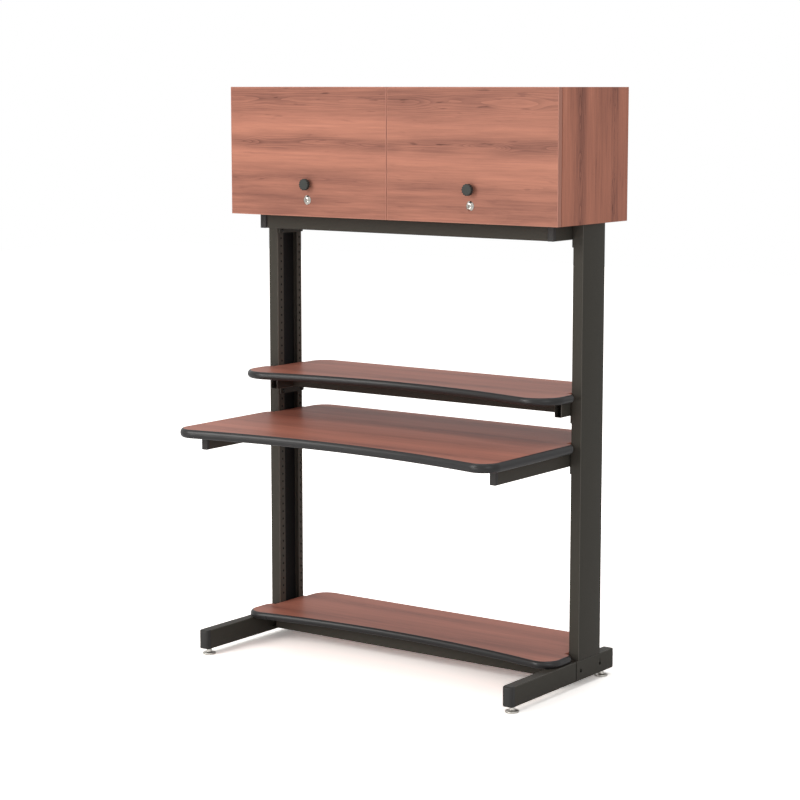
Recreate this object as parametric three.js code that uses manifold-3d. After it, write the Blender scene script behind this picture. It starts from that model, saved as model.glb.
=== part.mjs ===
// Dispatch console: two channel uprights on T-shaped feet carry three shelves and a wall cabinet
// with two doors that swing up. Millimetres, +Z up, floor at Z = 0, front towards -Y.
// The origin is on the floor, in the middle of the overall width and depth.
import * as THREE from 'three';
import * as BufferGeometryUtils from 'three/addons/utils/BufferGeometryUtils.js';
import Module from 'manifold-3d';

const wasm = await Module();
wasm.setup();

// Overall size
const overallWidth = 1237;
const overallDepth = 725;
const overallHeight = 1824;

// Fits
const gap = 0.3;
const overrun = 1;

// Uprights: channels with their mouth to the inside
const frameInset = 15;
const postWidth = 35;
const postDepth = 127;
const postWall = 2.5;
const postCorner = 1.5;
const postLip = 5;
const backOverhang = 104.6;

// Rack strips in the mouth of each upright
const stripThickness = 1.6;
const frontStripWidth = 26.2;
const rearStripWidth = 19.2;
const holeDiameter = 7;
const holePitch = 25.4;
const frontHoleSetback = 19.7;
const rearHoleSetback = 12.5;
const lowHoleRise = 45;
const topHoleMargin = 10;

// Feet
const footClearance = 20;
const footHeight = 63;
const footWall = 2.5;
const footCorner = 3;
const footJoint = 9.7;
const footJointGap = 4.5;
const footTail = 83;
const footReachShare = 0.764;
const spigotBehind = 48;
const bulkhead = 4;
const footBoltHeight = 50;
const footBoltHole = 10;
const frontFootBolt = 15;
const rearFootBoltBehind = 1.6;
const keySlotWidth = 3.5;
const frontKeySlotRise = 8.5;
const rearKeySlotRise = 16.5;
const capPlug = 5;
const frontCap = { length: 20, nose: 12, sideRounding: 12, topRounding: 6 };
const rearCap = { length: 11, nose: 4, sideRounding: 4, topRounding: 4 };

// Levelling feet
const glideRadius = 21;
const glideThickness = 6;
const glideBevel = 1;
const hubRadius = 8;
const hubHeight = 16;
const hubFlare = 3;
const stemRadius = 4.8;
const stemLength = 56;
const stemClearance = 0.5;
const frontGlideInset = 32;
const rearGlideInset = 45;

// Arms and rails, rectangular tube
const armWidth = 25.4;
const armHeight = 48;
const armWall = 2;
const armCorner = 3;
const armNose = 5.5;
const armEdge = 2;
const plateThickness = 6.4;
const plateWeld = 1;
const plateFront = 5;
const plateDrop = 23;
const plateCorner = 3;
const boltBelowArm = 13.5;
const slotPlay = 2.5;
const cabinetBoltBelowArm = 15.5;
const lowPlateBehind = 12;
const railSetback = 40;
const cabinetRailSetback = 6;

// Shelves
const edgeInset = 3.5;
const edgeWidth = 9;
const postClearance = 1.5;
const earRadius = 27;
const notchFront = 18;
const notchBack = 2;
const rearCorner = 60;
const workSurface = {
  name: 'work_surface',
  height: 758,
  thickness: 28,
  reachShare: 1,
  cornerShare: 0.122,
  sagShare: 0.116,
  armShare: 0.811,
  armNose,
};
const upperShelf = {
  name: 'upper_shelf',
  height: 910,
  thickness: 24,
  reachShare: 0.361,
  cornerShare: 0.505,
  sagShare: 0.365,
  armShare: 0.093,
  armNose: armEdge,
};
const lowerShelf = {
  name: 'lower_shelf',
  thickness: 23,
  reachShare: 0.314,
  cornerShare: 0.387,
  sagShare: 0.31,
  armShare: 0.1155,
};

// Cabinet
const cabinetHeight = 405;
const cabinetReachShare = 0.3425;
const cabinetArmShare = 0.1966;
const panel = 19;
const backPanel = 12;
const doorGap = 3.2;
const doorSeam = 1.8;
const doorRebate = 2;

// Door hinges
const knuckleRadius = 2.4;
const knuckleBore = 1.5;
const pinRadius = 1.2;
const leafThickness = 1;
const leafHeight = 12;
const knuckleCount = 7;
const knuckleGap = 0.5;
const knuckleClearance = 0.5;
const hingeEnd = 14;

// Knobs
const knobHeight = 101;
const knobRadius = 17.5;
const knobFlutes = 12;
const fluteDepth = 1.2;
const knobNeck = 8;
const knobNeckLength = 7;
const knobHead = 13;
const knobBevel = 1.5;
const knobScrewHole = 5;

// Cam locks
const lockHeight = 52;
const lockFlange = 15;
const lockFace = 8.5;
const lockProud = 6;
const lockRim = 1;
const barrelRadius = 9.5;
const barrelBehindDoor = 9;
const plugRadius = 5.5;
const keywayWidth = 2;
const keywayHeight = 7;
const keywayDepth = 6;
const camNeck = 4;
const camThickness = 2;
const camWidth = 12;
const camCorner = 4;
const camLength = 36;
const strikeWidth = 24;
const strikeRise = 16;
const strikeFoot = 28;
const strikeThickness = 2;

// Facets
const cornerSteps = 1;
const holeSteps = 3;
const plateSteps = 1;
const roundSides = 12;
const edgeSteps = 6;
const swingSteps = 1;
const archSteps = 10;
const earSteps = 5;
const noseSteps = 4;
const capSteps = 3;
const armNoseSteps = 2;
const knuckleSides = 6;
const fluteSteps = 2;

// Planes and levels that the sub-parts share
const frontReach = overallDepth - postDepth - backOverhang;
const backPlane = postDepth + backOverhang;
const postOuter = overallWidth / 2 - frameInset;
const postInner = postOuter - postWidth;
const postMiddle = postOuter - postWidth / 2;
const footTop = footClearance + footHeight;
const postTop = overallHeight - cabinetHeight;
const boardSide = postInner - postClearance;
const edgeSide = postOuter - edgeInset;
const armInner = postInner - gap - plateThickness - armWidth;
const cabinetFront = -frontReach * cabinetReachShare;
const doorBack = cabinetFront + panel;
const carcassFront = doorBack + doorGap;
const hingeY = doorBack + doorGap / 2;
const hingeZ = overallHeight - knuckleRadius - knuckleClearance;
const doorMiddle = overallWidth / 4;
const footFront = -frontReach * footReachShare;
const footBack = postDepth + footTail;
const lockZ = postTop + lockHeight;
const rearFootBolt = postDepth + rearFootBoltBehind;
const lowPlateBack = postDepth + lowPlateBehind;
const barrelEnd = doorBack + barrelBehindDoor;
const quarter = Math.PI / 2;

const cabinetBoltRow = postTop - armHeight - cabinetBoltBelowArm;
const rowsAbove = Math.floor((postTop - topHoleMargin - cabinetBoltRow) / holePitch);
const rowsBelow = Math.floor((cabinetBoltRow - footTop - lowHoleRise) / holePitch);

const doorWood = finish(0xb97d6a, 0.45, 0);
const sideWood = finish(0xa66d5b, 0.5, 0);
const shelfWood = finish(0x955f50, 0.4, 0);
const steel = finish(0x3f3c36, 0.45, 0.3);
const edging = finish(0x403f3e, 0.5, 0);
const capPlastic = finish(0x434444, 0.5, 0);
const chrome = finish(0xd9d8d4, 0.15, 1);
const knobPlastic = finish(0x434543, 0.55, 0);
const zinc = finish(0xa9a8a3, 0.35, 1);

function finish(color, roughness, metalness) {
  return () => new THREE.MeshStandardMaterial({ color, roughness, metalness });
}

// Solids from closed geometries, and back

function merged(geometry) {
  const bare = geometry.clone();
  bare.deleteAttribute('normal');
  bare.deleteAttribute('uv');
  return BufferGeometryUtils.mergeVertices(bare);
}

function solidOf(geometry) {
  const closed = merged(geometry);
  const mesh = new wasm.Mesh({
    numProp: 3,
    vertProperties: closed.attributes.position.array,
    triVerts: new Uint32Array(closed.index.array),
  });
  return new wasm.Manifold(mesh);
}

function geometryOf(solid) {
  const mesh = solid.getMesh();
  const geometry = new THREE.BufferGeometry();
  geometry.setAttribute('position', new THREE.BufferAttribute(mesh.vertProperties, 3));
  geometry.setIndex(new THREE.BufferAttribute(mesh.triVerts, 1));
  geometry.computeVertexNormals();
  return geometry;
}

function join(first, ...others) {
  return geometryOf(others.reduce((solid, other) => solid.add(solidOf(other)), solidOf(first)));
}

function cut(body, ...tools) {
  return geometryOf(tools.reduce((solid, tool) => solid.subtract(solidOf(tool)), solidOf(body)));
}

function common(body, other) {
  return geometryOf(solidOf(body).intersect(solidOf(other)));
}

// Basic forms

function box(fromX, toX, fromY, toY, fromZ, toZ) {
  const geometry = new THREE.BoxGeometry(toX - fromX, toY - fromY, toZ - fromZ);
  return geometry.translate((fromX + toX) / 2, (fromY + toY) / 2, (fromZ + toZ) / 2);
}

function extrude(shape, depth, curveSegments) {
  return new THREE.ExtrudeGeometry(shape, { depth, bevelEnabled: false, curveSegments });
}

// A shape drawn in X and Z, given its depth along Y
function alongY(shape, fromY, toY, steps = cornerSteps) {
  return extrude(shape, toY - fromY, steps).rotateX(quarter).translate(0, toY, 0);
}

// A shape drawn in Y and Z, given its depth along X
function alongX(shape, fromX, toX, steps = cornerSteps) {
  const turn = new THREE.Matrix4().makeBasis(
    new THREE.Vector3(0, 1, 0),
    new THREE.Vector3(0, 0, 1),
    new THREE.Vector3(1, 0, 0),
  );
  return extrude(shape, toX - fromX, steps).applyMatrix4(turn).translate(fromX, 0, 0);
}

function roundAlongX(radius, fromX, toX, y, z, sides = 4 * plateSteps + 4) {
  const geometry = new THREE.CylinderGeometry(radius, radius, toX - fromX, sides);
  return geometry.rotateZ(quarter).translate((fromX + toX) / 2, y, z);
}

function roundAlongY(radius, fromY, toY, x, z, sides = roundSides) {
  return new THREE.CylinderGeometry(radius, radius, toY - fromY, sides).translate(x, (fromY + toY) / 2, z);
}

function roundAlongZ(radius, fromZ, toZ, x, y, sides = roundSides) {
  const geometry = new THREE.CylinderGeometry(radius, radius, toZ - fromZ, sides);
  return geometry.rotateX(quarter).translate(x, y, (fromZ + toZ) / 2);
}

function roundedRect(width, height, radius, centreX = 0, centreY = 0) {
  const x = width / 2 - radius;
  const y = height / 2 - radius;
  const shape = new THREE.Shape();
  shape.absarc(centreX + x, centreY - y, radius, -quarter, 0);
  shape.absarc(centreX + x, centreY + y, radius, 0, quarter);
  shape.absarc(centreX - x, centreY + y, radius, quarter, 2 * quarter);
  shape.absarc(centreX - x, centreY - y, radius, 2 * quarter, 3 * quarter);
  return shape;
}

function roundHole(x, y, radius) {
  return new THREE.Path().absarc(x, y, radius, 0, 4 * quarter, true);
}

function slotHole(x, y, radius, play) {
  const path = new THREE.Path();
  path.absarc(x, y + play, radius, 2 * quarter, 0, true);
  path.absarc(x, y - play, radius, 0, -2 * quarter, true);
  return path;
}

function arc(centreX, centreY, radius, from, to, steps) {
  return Array.from({ length: steps + 1 }, (_, step) => {
    const angle = from + ((to - from) * step) / steps;
    return new THREE.Vector2(centreX + radius * Math.cos(angle), centreY + radius * Math.sin(angle));
  });
}

// A closed body through rings of points, with a flat fan at each end
function loft(rings) {
  const sides = rings[0].length;
  const points = rings.flat();
  const index = [];
  for (let ring = 1; ring < rings.length; ring += 1) {
    for (let side = 0; side < sides; side += 1) {
      const next = (side + 1) % sides;
      const low = (ring - 1) * sides;
      const high = ring * sides;
      index.push(low + side, low + next, high + next);
      index.push(low + side, high + next, high + side);
    }
  }
  const last = (rings.length - 1) * sides;
  for (const [start, ring, order] of [[0, rings[0], 1], [last, rings[rings.length - 1], -1]]) {
    const middle = new THREE.Vector3();
    ring.forEach((point) => middle.addScaledVector(point, 1 / sides));
    const hub = points.push(middle) - 1;
    for (let side = 0; side < sides; side += 1) {
      const edge = [start + ((side + 1) % sides), start + side];
      index.push(hub, ...(order > 0 ? edge : edge.reverse()));
    }
  }
  const geometry = new THREE.BufferGeometry().setFromPoints(points);
  geometry.setIndex(index);
  return outward(geometry);
}

function enclosedVolume(geometry) {
  const position = geometry.attributes.position;
  const corner = [0, 1, 2].map(() => new THREE.Vector3());
  let volume = 0;
  for (let start = 0; start < geometry.index.count; start += 3) {
    corner.forEach((point, at) => point.fromBufferAttribute(position, geometry.index.getX(start + at)));
    volume += corner[0].dot(corner[1].cross(corner[2]));
  }
  return volume;
}

// Turns the faces round where they look inwards
function outward(geometry) {
  if (enclosedVolume(geometry) < 0) {
    const index = geometry.index.array;
    for (let start = 0; start < index.length; start += 3) {
      [index[start], index[start + 1]] = [index[start + 1], index[start]];
    }
  }
  geometry.computeVertexNormals();
  return geometry;
}

function mirrored(geometry) {
  return outward(merged(geometry).scale(-1, 1, 1));
}

// Uprights

function channel() {
  const inX = postInner + postCorner;
  const outX = postOuter - postCorner;
  const back = postDepth - postCorner;
  const shape = new THREE.Shape();
  shape.moveTo(postInner, postLip);
  shape.absarc(inX, postCorner, postCorner, 2 * quarter, 3 * quarter);
  shape.absarc(outX, postCorner, postCorner, -quarter, 0);
  shape.absarc(outX, back, postCorner, 0, quarter);
  shape.absarc(inX, back, postCorner, quarter, 2 * quarter);
  shape.lineTo(postInner, postDepth - postLip);
  shape.lineTo(postInner + postWall, postDepth - postLip);
  shape.lineTo(postInner + postWall, postDepth - postWall);
  shape.lineTo(postOuter - postWall, postDepth - postWall);
  shape.lineTo(postOuter - postWall, postWall);
  shape.lineTo(postInner + postWall, postWall);
  shape.lineTo(postInner + postWall, postLip);
  return extrude(shape, postTop - footTop - 2 * gap, cornerSteps).translate(0, 0, footTop + gap);
}

function rackStrip(fromY, toY, holeY) {
  const shape = new THREE.Shape();
  const low = footTop + gap;
  const high = postTop - gap;
  shape.setFromPoints([
    new THREE.Vector2(fromY, low),
    new THREE.Vector2(toY, low),
    new THREE.Vector2(toY, high),
    new THREE.Vector2(fromY, high),
  ]);
  for (let row = -rowsBelow; row <= rowsAbove; row += 1) {
    shape.holes.push(roundHole(holeY, cabinetBoltRow + row * holePitch, holeDiameter / 2));
  }
  return alongX(shape, postInner, postInner + stripThickness, holeSteps);
}

function frontStrip() {
  const near = postLip + gap;
  return rackStrip(near, near + frontStripWidth, frontHoleSetback);
}

function rearStrip() {
  const far = postDepth - postLip - gap;
  return rackStrip(far - rearStripWidth, far, postDepth - rearHoleSetback);
}

// Feet

function footTube(fromY, toY) {
  const middle = footClearance + footHeight / 2;
  const bore = 2 * footWall;
  const outer = roundedRect(postWidth, footHeight, footCorner, postMiddle, middle);
  const inner = roundedRect(postWidth - bore, footHeight - bore, footCorner - footWall, postMiddle, middle);
  outer.holes.push(inner);
  return alongY(outer, fromY, toY);
}

function stemHole(y) {
  const high = footClearance + footWall + overrun;
  return roundAlongZ(stemRadius + stemClearance, footClearance - overrun, high, postMiddle, y);
}

function footBoltBore(y, radius) {
  return roundAlongX(radius, postInner - overrun, postOuter + overrun, y, footBoltHeight);
}

// Narrow slot upwards from a bolt hole
function keySlot(y, rise) {
  const top = footBoltHeight + rise;
  const half = keySlotWidth / 2;
  return box(postInner - overrun, postOuter + overrun, y - half, y + half, footBoltHeight, top);
}

function footBase() {
  const tube = footTube(-footJoint, footBack - rearCap.length - gap);
  const bolts = [frontFootBolt, rearFootBolt].map((y) => footBoltBore(y, footBoltHole / 2));
  const slots = [keySlot(frontFootBolt, frontKeySlotRise), keySlot(rearFootBolt, rearKeySlotRise)];
  return cut(tube, stemHole(footBack - rearGlideInset), ...bolts, ...slots);
}

function spigotOutline(margin) {
  const shrink = 2 * (footWall + margin);
  const middle = footClearance + footHeight / 2;
  return roundedRect(postWidth - shrink, footHeight - shrink, footCorner - footWall, postMiddle, middle);
}

function footArm() {
  const end = -footJoint - footJointGap;
  const tube = footTube(footFront + frontCap.length + gap, end);
  const block = alongY(spigotOutline(-overrun), end - bulkhead, end);
  const spigot = spigotOutline(gap);
  spigot.holes.push(spigotOutline(gap + footWall));
  const sleeve = alongY(spigot, end - bulkhead / 2, spigotBehind);
  const bolt = footBoltBore(frontFootBolt, footBoltHole / 2);
  return cut(join(tube, block, sleeve), stemHole(footFront + frontGlideInset), bolt);
}

// End cap of a foot, its nose at the given end and its plug inside the tube
function footCap(cap, endY, direction) {
  const middle = footClearance + footHeight / 2;
  const ring = (sideInset, topInset, distance) => {
    const width = postWidth - 2 * sideInset;
    const height = footHeight - 2 * topInset;
    const outline = roundedRect(width, height, footCorner, postMiddle, middle).getPoints(cornerSteps);
    return outline.map((point) => new THREE.Vector3(point.x, endY - direction * distance, point.y));
  };
  const plug = footWall + gap;
  const rings = [
    ring(plug, plug, cap.length + capPlug),
    ring(plug, plug, cap.length),
    ring(0, 0, cap.length),
  ];
  for (let step = 0; step <= capSteps; step += 1) {
    const angle = (quarter * step) / capSteps;
    const turn = 1 - Math.cos(angle);
    rings.push(ring(cap.sideRounding * turn, cap.topRounding * turn, cap.nose * (1 - Math.sin(angle))));
  }
  return loft(rings);
}

function glide() {
  const profile = [
    [0, 0],
    [glideRadius - glideBevel, 0],
    [glideRadius, glideBevel],
    [glideRadius, glideThickness - glideBevel],
    [glideRadius - glideBevel, glideThickness],
    [hubRadius + hubFlare, glideThickness + glideBevel],
    [hubRadius, glideThickness + hubFlare],
    [hubRadius, hubHeight],
    [stemRadius, hubHeight],
    [stemRadius, stemLength],
    [0, stemLength],
  ].map(([radius, height]) => new THREE.Vector2(radius, height));
  return new THREE.LatheGeometry(profile, roundSides).rotateX(quarter);
}

// Arms, bolted to the rack strips through a welded plate. Drawn for the right side, the post's
// inner face at X = 0 and the arm's top at Z = 0.

function armTube(reach, backY, nose) {
  const middle = -gap - plateThickness - armWidth / 2;
  const outer = roundedRect(armWidth, armHeight, armCorner, middle, -armHeight / 2);
  const bore = 2 * armWall;
  const inner = roundedRect(armWidth - bore, armHeight - bore, armCorner - armWall, middle, -armHeight / 2);
  const hollow = alongY(inner, -reach + armWall + nose, backY + overrun);
  const side = armWidth / 2 - nose;
  const plan = new THREE.Shape([
    ...arc(middle - side, nose - reach, nose, 2 * quarter, 3 * quarter, armNoseSteps),
    ...arc(middle + side, nose - reach, nose, 3 * quarter, 4 * quarter, armNoseSteps),
    new THREE.Vector2(middle + armWidth / 2, backY),
    new THREE.Vector2(middle - armWidth / 2, backY),
  ]);
  const rounded = extrude(plan, armHeight, 1).translate(0, 0, -armHeight);
  return cut(common(alongY(outer, -reach, backY), rounded), hollow);
}

function armPlate(backY, drop, holes) {
  const height = armHeight + drop;
  const length = backY - plateFront;
  const outline = roundedRect(length, height, plateCorner, plateFront + length / 2, -height / 2);
  outline.holes.push(...holes);
  return alongX(outline, -gap - plateThickness - plateWeld, -gap, plateSteps);
}

function postArm(reach, nose) {
  const radius = holeDiameter / 2;
  const boltZ = -armHeight - boltBelowArm;
  const bolts = [frontHoleSetback, postDepth - rearHoleSetback];
  const holes = bolts.map((y) => slotHole(y, boltZ, radius, slotPlay));
  return join(armTube(reach, postDepth, nose), armPlate(postDepth, plateDrop, holes));
}

function footArmBracket(reach) {
  const boltZ = footBoltHeight - footTop;
  const plate = armPlate(lowPlateBack, 0, []);
  const wall = gap + plateThickness + armWall + overrun;
  const bores = [frontFootBolt, rearFootBolt].map((y) =>
    roundAlongX(holeDiameter / 2, -wall, overrun, y, boltZ));
  return cut(join(armTube(reach, lowPlateBack, armEdge), plate), ...bores);
}

function rail() {
  const half = armInner - gap;
  const outer = roundedRect(armWidth, armHeight, armCorner, armWidth / 2, -armHeight / 2);
  const bore = 2 * armWall;
  outer.holes.push(
    roundedRect(armWidth - bore, armHeight - bore, armCorner - armWall, armWidth / 2, -armHeight / 2),
  );
  return alongX(outer, -half, half);
}

// The height of an arm's underside, moved to where its slots meet a row of holes
function boltedHeight(wanted) {
  const row = Math.round((wanted - boltBelowArm - cabinetBoltRow) / holePitch);
  const exact = cabinetBoltRow + row * holePitch + boltBelowArm;
  return exact + THREE.MathUtils.clamp(wanted - exact, -slotPlay, slotPlay);
}

// Shelves

// Plan of the front edge from the left post to the right one: an arch between two round corners,
// then an ear that turns in front of the post. Inset moves the whole line into the board.
function frontEdge(shelf, inset, endX) {
  const reach = frontReach * shelf.reachShare;
  const corner = reach * shelf.cornerShare;
  const sag = reach * shelf.sagShare;
  const cornerX = edgeSide - corner;
  const archRadius = (cornerX ** 2 + sag ** 2) / (2 * sag) - corner;
  const swing = Math.atan2(cornerX, archRadius + corner - sag);
  const archY = sag - reach - archRadius;
  const earY = -notchFront - earRadius;
  const right = [
    ...arc(0, archY, archRadius + inset, quarter, quarter - swing, archSteps / 2),
    ...arc(cornerX, corner - reach, corner - inset, -quarter - swing, -quarter, swingSteps).slice(1),
    ...arc(cornerX, corner - reach, corner - inset, -quarter, 0, edgeSteps).slice(1),
    ...arc(edgeSide - earRadius, earY, earRadius - inset, 0, quarter, earSteps),
    new THREE.Vector2(endX, -notchFront - inset),
  ];
  return bothHalves(right);
}

// Plan of the rear edge from the right post to the left one
function rearEdge(inset, startY) {
  const middle = boardSide - rearCorner;
  const right = [
    new THREE.Vector2(boardSide - inset, startY),
    ...arc(middle, backPlane - rearCorner, rearCorner - inset, 0, quarter, edgeSteps),
  ];
  const left = right.map((point) => new THREE.Vector2(-point.x, point.y)).reverse();
  return [...right, ...left];
}

function bothHalves(right) {
  const left = right.slice(1).map((point) => new THREE.Vector2(-point.x, point.y)).reverse();
  return [...left, ...right];
}

function board(shelf) {
  const inset = edgeWidth + gap;
  const notchEnd = postDepth + notchBack - gap;
  const notch = [
    new THREE.Vector2(boardSide, notchEnd),
    ...rearEdge(inset, notchEnd),
    new THREE.Vector2(-boardSide, notchEnd),
  ];
  const shape = new THREE.Shape([...frontEdge(shelf, inset, boardSide), ...notch]);
  return extrude(shape, shelf.thickness, 1);
}

// Half an ellipse as [inset, height] pairs, swept along an edge of the board
function bullnose(shelf, edge) {
  const section = arc(0, 0, 1, -quarter, quarter, noseSteps).map((point) => ({
    inset: edgeWidth * (1 - point.x),
    z: (shelf.thickness * (1 + point.y)) / 2,
  }));
  const lines = section.map(({ inset }) => edge(inset));
  const rings = lines[0].map((_, at) =>
    section.map(({ z }, line) => new THREE.Vector3(lines[line][at].x, lines[line][at].y, z)));
  return loft(rings);
}

function addShelf(shelf, underside) {
  add(`${shelf.name}_board`, board(shelf), shelfWood, 0, 0, underside);
  const front = bullnose(shelf, (inset) => frontEdge(shelf, inset, boardSide + gap));
  add(`${shelf.name}_front_edging`, front, edging, 0, 0, underside);
  const rear = bullnose(shelf, (inset) => rearEdge(inset, postDepth + notchBack));
  add(`${shelf.name}_rear_edging`, rear, edging, 0, 0, underside);
}

function addArms(level, geometry, top) {
  add(`${level}_arm_left`, mirrored(geometry), steel, -postInner, 0, top);
  add(`${level}_arm_right`, geometry, steel, postInner, 0, top);
}

// Cabinet

function cabinetTop() {
  const side = overallWidth / 2 - panel - gap;
  const slab = box(-side, side, carcassFront, backPlane, overallHeight - panel, overallHeight);
  const low = hingeZ - knuckleRadius - knuckleClearance;
  const rebate = box(
    -side - overrun,
    side + overrun,
    carcassFront - overrun,
    carcassFront + doorRebate,
    low,
    overallHeight + overrun,
  );
  return cut(slab, rebate);
}

function addCabinet() {
  const outer = overallWidth / 2;
  const inner = outer - panel;
  const low = postTop + panel;
  const high = overallHeight - panel;
  const side = box(inner, outer, carcassFront, backPlane, postTop, overallHeight);
  const floor = box(gap - inner, inner - gap, carcassFront, backPlane, postTop, low);
  const back = box(gap - inner, inner - gap, backPlane - backPanel, backPlane, low + gap, high - gap);
  const wallEnd = backPlane - backPanel - gap;
  const wall = box(-panel / 2, panel / 2, carcassFront, wallEnd, low + gap, high - gap);
  add('cabinet_side_left', mirrored(side), sideWood);
  add('cabinet_side_right', side, sideWood);
  add('cabinet_top', cabinetTop(), sideWood);
  add('cabinet_bottom', floor, sideWood);
  add('cabinet_back', back, sideWood);
  add('cabinet_divider', wall, sideWood);
}

function door() {
  const shape = new THREE.Shape([
    new THREE.Vector2(doorSeam / 2, postTop),
    new THREE.Vector2(overallWidth / 2, postTop),
    new THREE.Vector2(overallWidth / 2, overallHeight),
    new THREE.Vector2(doorSeam / 2, overallHeight),
  ]);
  shape.holes.push(roundHole(doorMiddle, lockZ, barrelRadius + gap));
  shape.holes.push(roundHole(doorMiddle, postTop + knobHeight, knobScrewHole / 2));
  const slab = alongY(shape, cabinetFront, doorBack, roundSides / 2);
  const low = hingeZ - knuckleRadius - knuckleClearance;
  const rebate = box(
    -overrun,
    overallWidth / 2 + overrun,
    doorBack - doorRebate,
    doorBack + overrun,
    low,
    overallHeight + overrun,
  );
  return cut(slab, rebate);
}

// Hinge leaf along a door's top edge: a strip with every second knuckle. The side is -1 on the
// door and 1 on the cabinet, whose knuckles hold the pin.
function hingeLeaf(side) {
  const from = hingeEnd;
  const to = overallWidth / 2 - panel - hingeEnd;
  const pitch = (to - from) / knuckleCount;
  const faces = [hingeY + side * gap, hingeY + side * (gap + leafThickness)].sort((a, b) => a - b);
  const below = hingeZ - knuckleRadius - knuckleClearance;
  const weld = hingeZ - (knuckleRadius + knuckleBore) / 2;
  const parts = [box(from, to, ...faces, below - leafHeight, below)];
  for (let knuckle = side > 0 ? 0 : 1; knuckle < knuckleCount; knuckle += 2) {
    const start = from + knuckle * pitch + knuckleGap / 2;
    const end = from + (knuckle + 1) * pitch - knuckleGap / 2;
    parts.push(roundAlongX(knuckleRadius, start, end, hingeY, hingeZ, knuckleSides));
    parts.push(box(start, end, ...faces, below - overrun, weld));
  }
  if (side > 0) {
    const ends = [from + pitch / 2, to - pitch / 2];
    return join(...parts, roundAlongX(pinRadius, ...ends, hingeY, hingeZ, knuckleSides));
  }
  const bore = roundAlongX(knuckleBore, from - overrun, to + overrun, hingeY, hingeZ, knuckleSides);
  return cut(join(...parts), bore);
}

function knob() {
  const sides = knobFlutes * fluteSteps;
  const face = cabinetFront - gap;
  const ring = (radius, flute, distance) => Array.from({ length: sides }, (_, side) => {
    const angle = (4 * quarter * side) / sides;
    const reach = radius - (flute * (1 - Math.cos(knobFlutes * angle))) / 2;
    const x = reach * Math.cos(angle);
    const z = postTop + knobHeight + reach * Math.sin(angle);
    return new THREE.Vector3(x, face - distance, z);
  });
  const end = knobNeckLength + knobHead;
  return loft([
    ring(knobNeck, 0, 0),
    ring(knobNeck, 0, knobNeckLength),
    ring(knobRadius - knobBevel, fluteDepth, knobNeckLength),
    ring(knobRadius, fluteDepth, knobNeckLength + knobBevel),
    ring(knobRadius, fluteDepth, end - knobBevel),
    ring(knobRadius - knobBevel, fluteDepth / 2, end),
  ]);
}

function lockBody() {
  const face = cabinetFront - gap;
  const profile = [
    [plugRadius + gap, -lockProud],
    [lockFace, -lockProud],
    [lockFlange, -lockRim],
    [lockFlange, 0],
    [barrelRadius, 0],
    [barrelRadius, barrelEnd - face],
    [plugRadius + gap, barrelEnd - face],
    [plugRadius + gap, -lockProud],
  ].map(([radius, distance]) => new THREE.Vector2(radius, distance));
  return outward(merged(new THREE.LatheGeometry(profile, roundSides))).translate(0, face, lockZ);
}

// Plug with its cam. The cam points sideways while unlocked, and a quarter turn brings it down
// behind the strike.
function lockPlug() {
  const front = cabinetFront - gap - lockProud;
  const barrel = roundAlongY(plugRadius, front, barrelEnd, 0, lockZ);
  const neck = roundAlongY(camNeck, barrelEnd - overrun, barrelEnd + gap + overrun, 0, lockZ);
  const outline = roundedRect(camLength, camWidth, camCorner, (camLength - camWidth) / 2, lockZ);
  const cam = alongY(outline, barrelEnd + gap, barrelEnd + gap + camThickness);
  const keyway = box(
    -keywayWidth / 2,
    keywayWidth / 2,
    front - overrun,
    front + keywayDepth,
    lockZ - keywayHeight / 2,
    lockZ + keywayHeight / 2,
  );
  return cut(join(barrel, neck, cam), keyway);
}

function strike() {
  const low = postTop + panel + gap;
  const back = barrelEnd;
  const front = back - strikeThickness;
  const shape = new THREE.Shape([
    new THREE.Vector2(front, low),
    new THREE.Vector2(front + strikeFoot, low),
    new THREE.Vector2(front + strikeFoot, low + strikeThickness),
    new THREE.Vector2(back, low + strikeThickness),
    new THREE.Vector2(back, low + strikeRise),
    new THREE.Vector2(front, low + strikeRise),
  ]);
  return alongX(shape, -strikeWidth / 2, strikeWidth / 2);
}

// The sub-parts are built from the posts' front plane, and the inner group moves that plane to
// where the middle of the depth is the origin
const group = new THREE.Group();
const frame = new THREE.Group();
frame.position.y = overallDepth / 2 - backPlane;
group.add(frame);

function add(name, geometry, material, x = 0, y = 0, z = 0) {
  const mesh = new THREE.Mesh(geometry, material());
  mesh.name = name;
  mesh.position.set(x, y, z);
  frame.add(mesh);
}

function addPair(name, geometry, material) {
  add(`${name}_left`, mirrored(geometry), material);
  add(`${name}_right`, geometry, material);
}

addPair('post_channel', channel(), steel);
addPair('rack_strip_front', frontStrip(), steel);
addPair('rack_strip_rear', rearStrip(), steel);
addPair('foot_base', footBase(), steel);
addPair('foot_arm', footArm(), steel);
addPair('foot_cap_front', footCap(frontCap, footFront, -1), capPlastic);
addPair('foot_cap_rear', footCap(rearCap, footBack, 1), capPlastic);

for (const [side, x] of [['left', -postMiddle], ['right', postMiddle]]) {
  add(`glide_front_${side}`, glide(), chrome, x, footFront + frontGlideInset);
  add(`glide_rear_${side}`, glide(), chrome, x, footBack - rearGlideInset);
}

for (const shelf of [workSurface, upperShelf]) {
  const armTop = boltedHeight(shelf.height - shelf.thickness - gap - armHeight) + armHeight;
  addArms(shelf.name, postArm(frontReach * shelf.armShare, shelf.armNose), armTop);
  add(`${shelf.name}_rail`, rail(), steel, 0, railSetback, armTop);
  addShelf(shelf, armTop + gap);
}

addArms('lower_shelf', footArmBracket(frontReach * lowerShelf.armShare), footTop);
add('lower_shelf_rail', rail(), steel, 0, -frontReach * lowerShelf.armShare, footTop);
addShelf(lowerShelf, footTop + gap);

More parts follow.
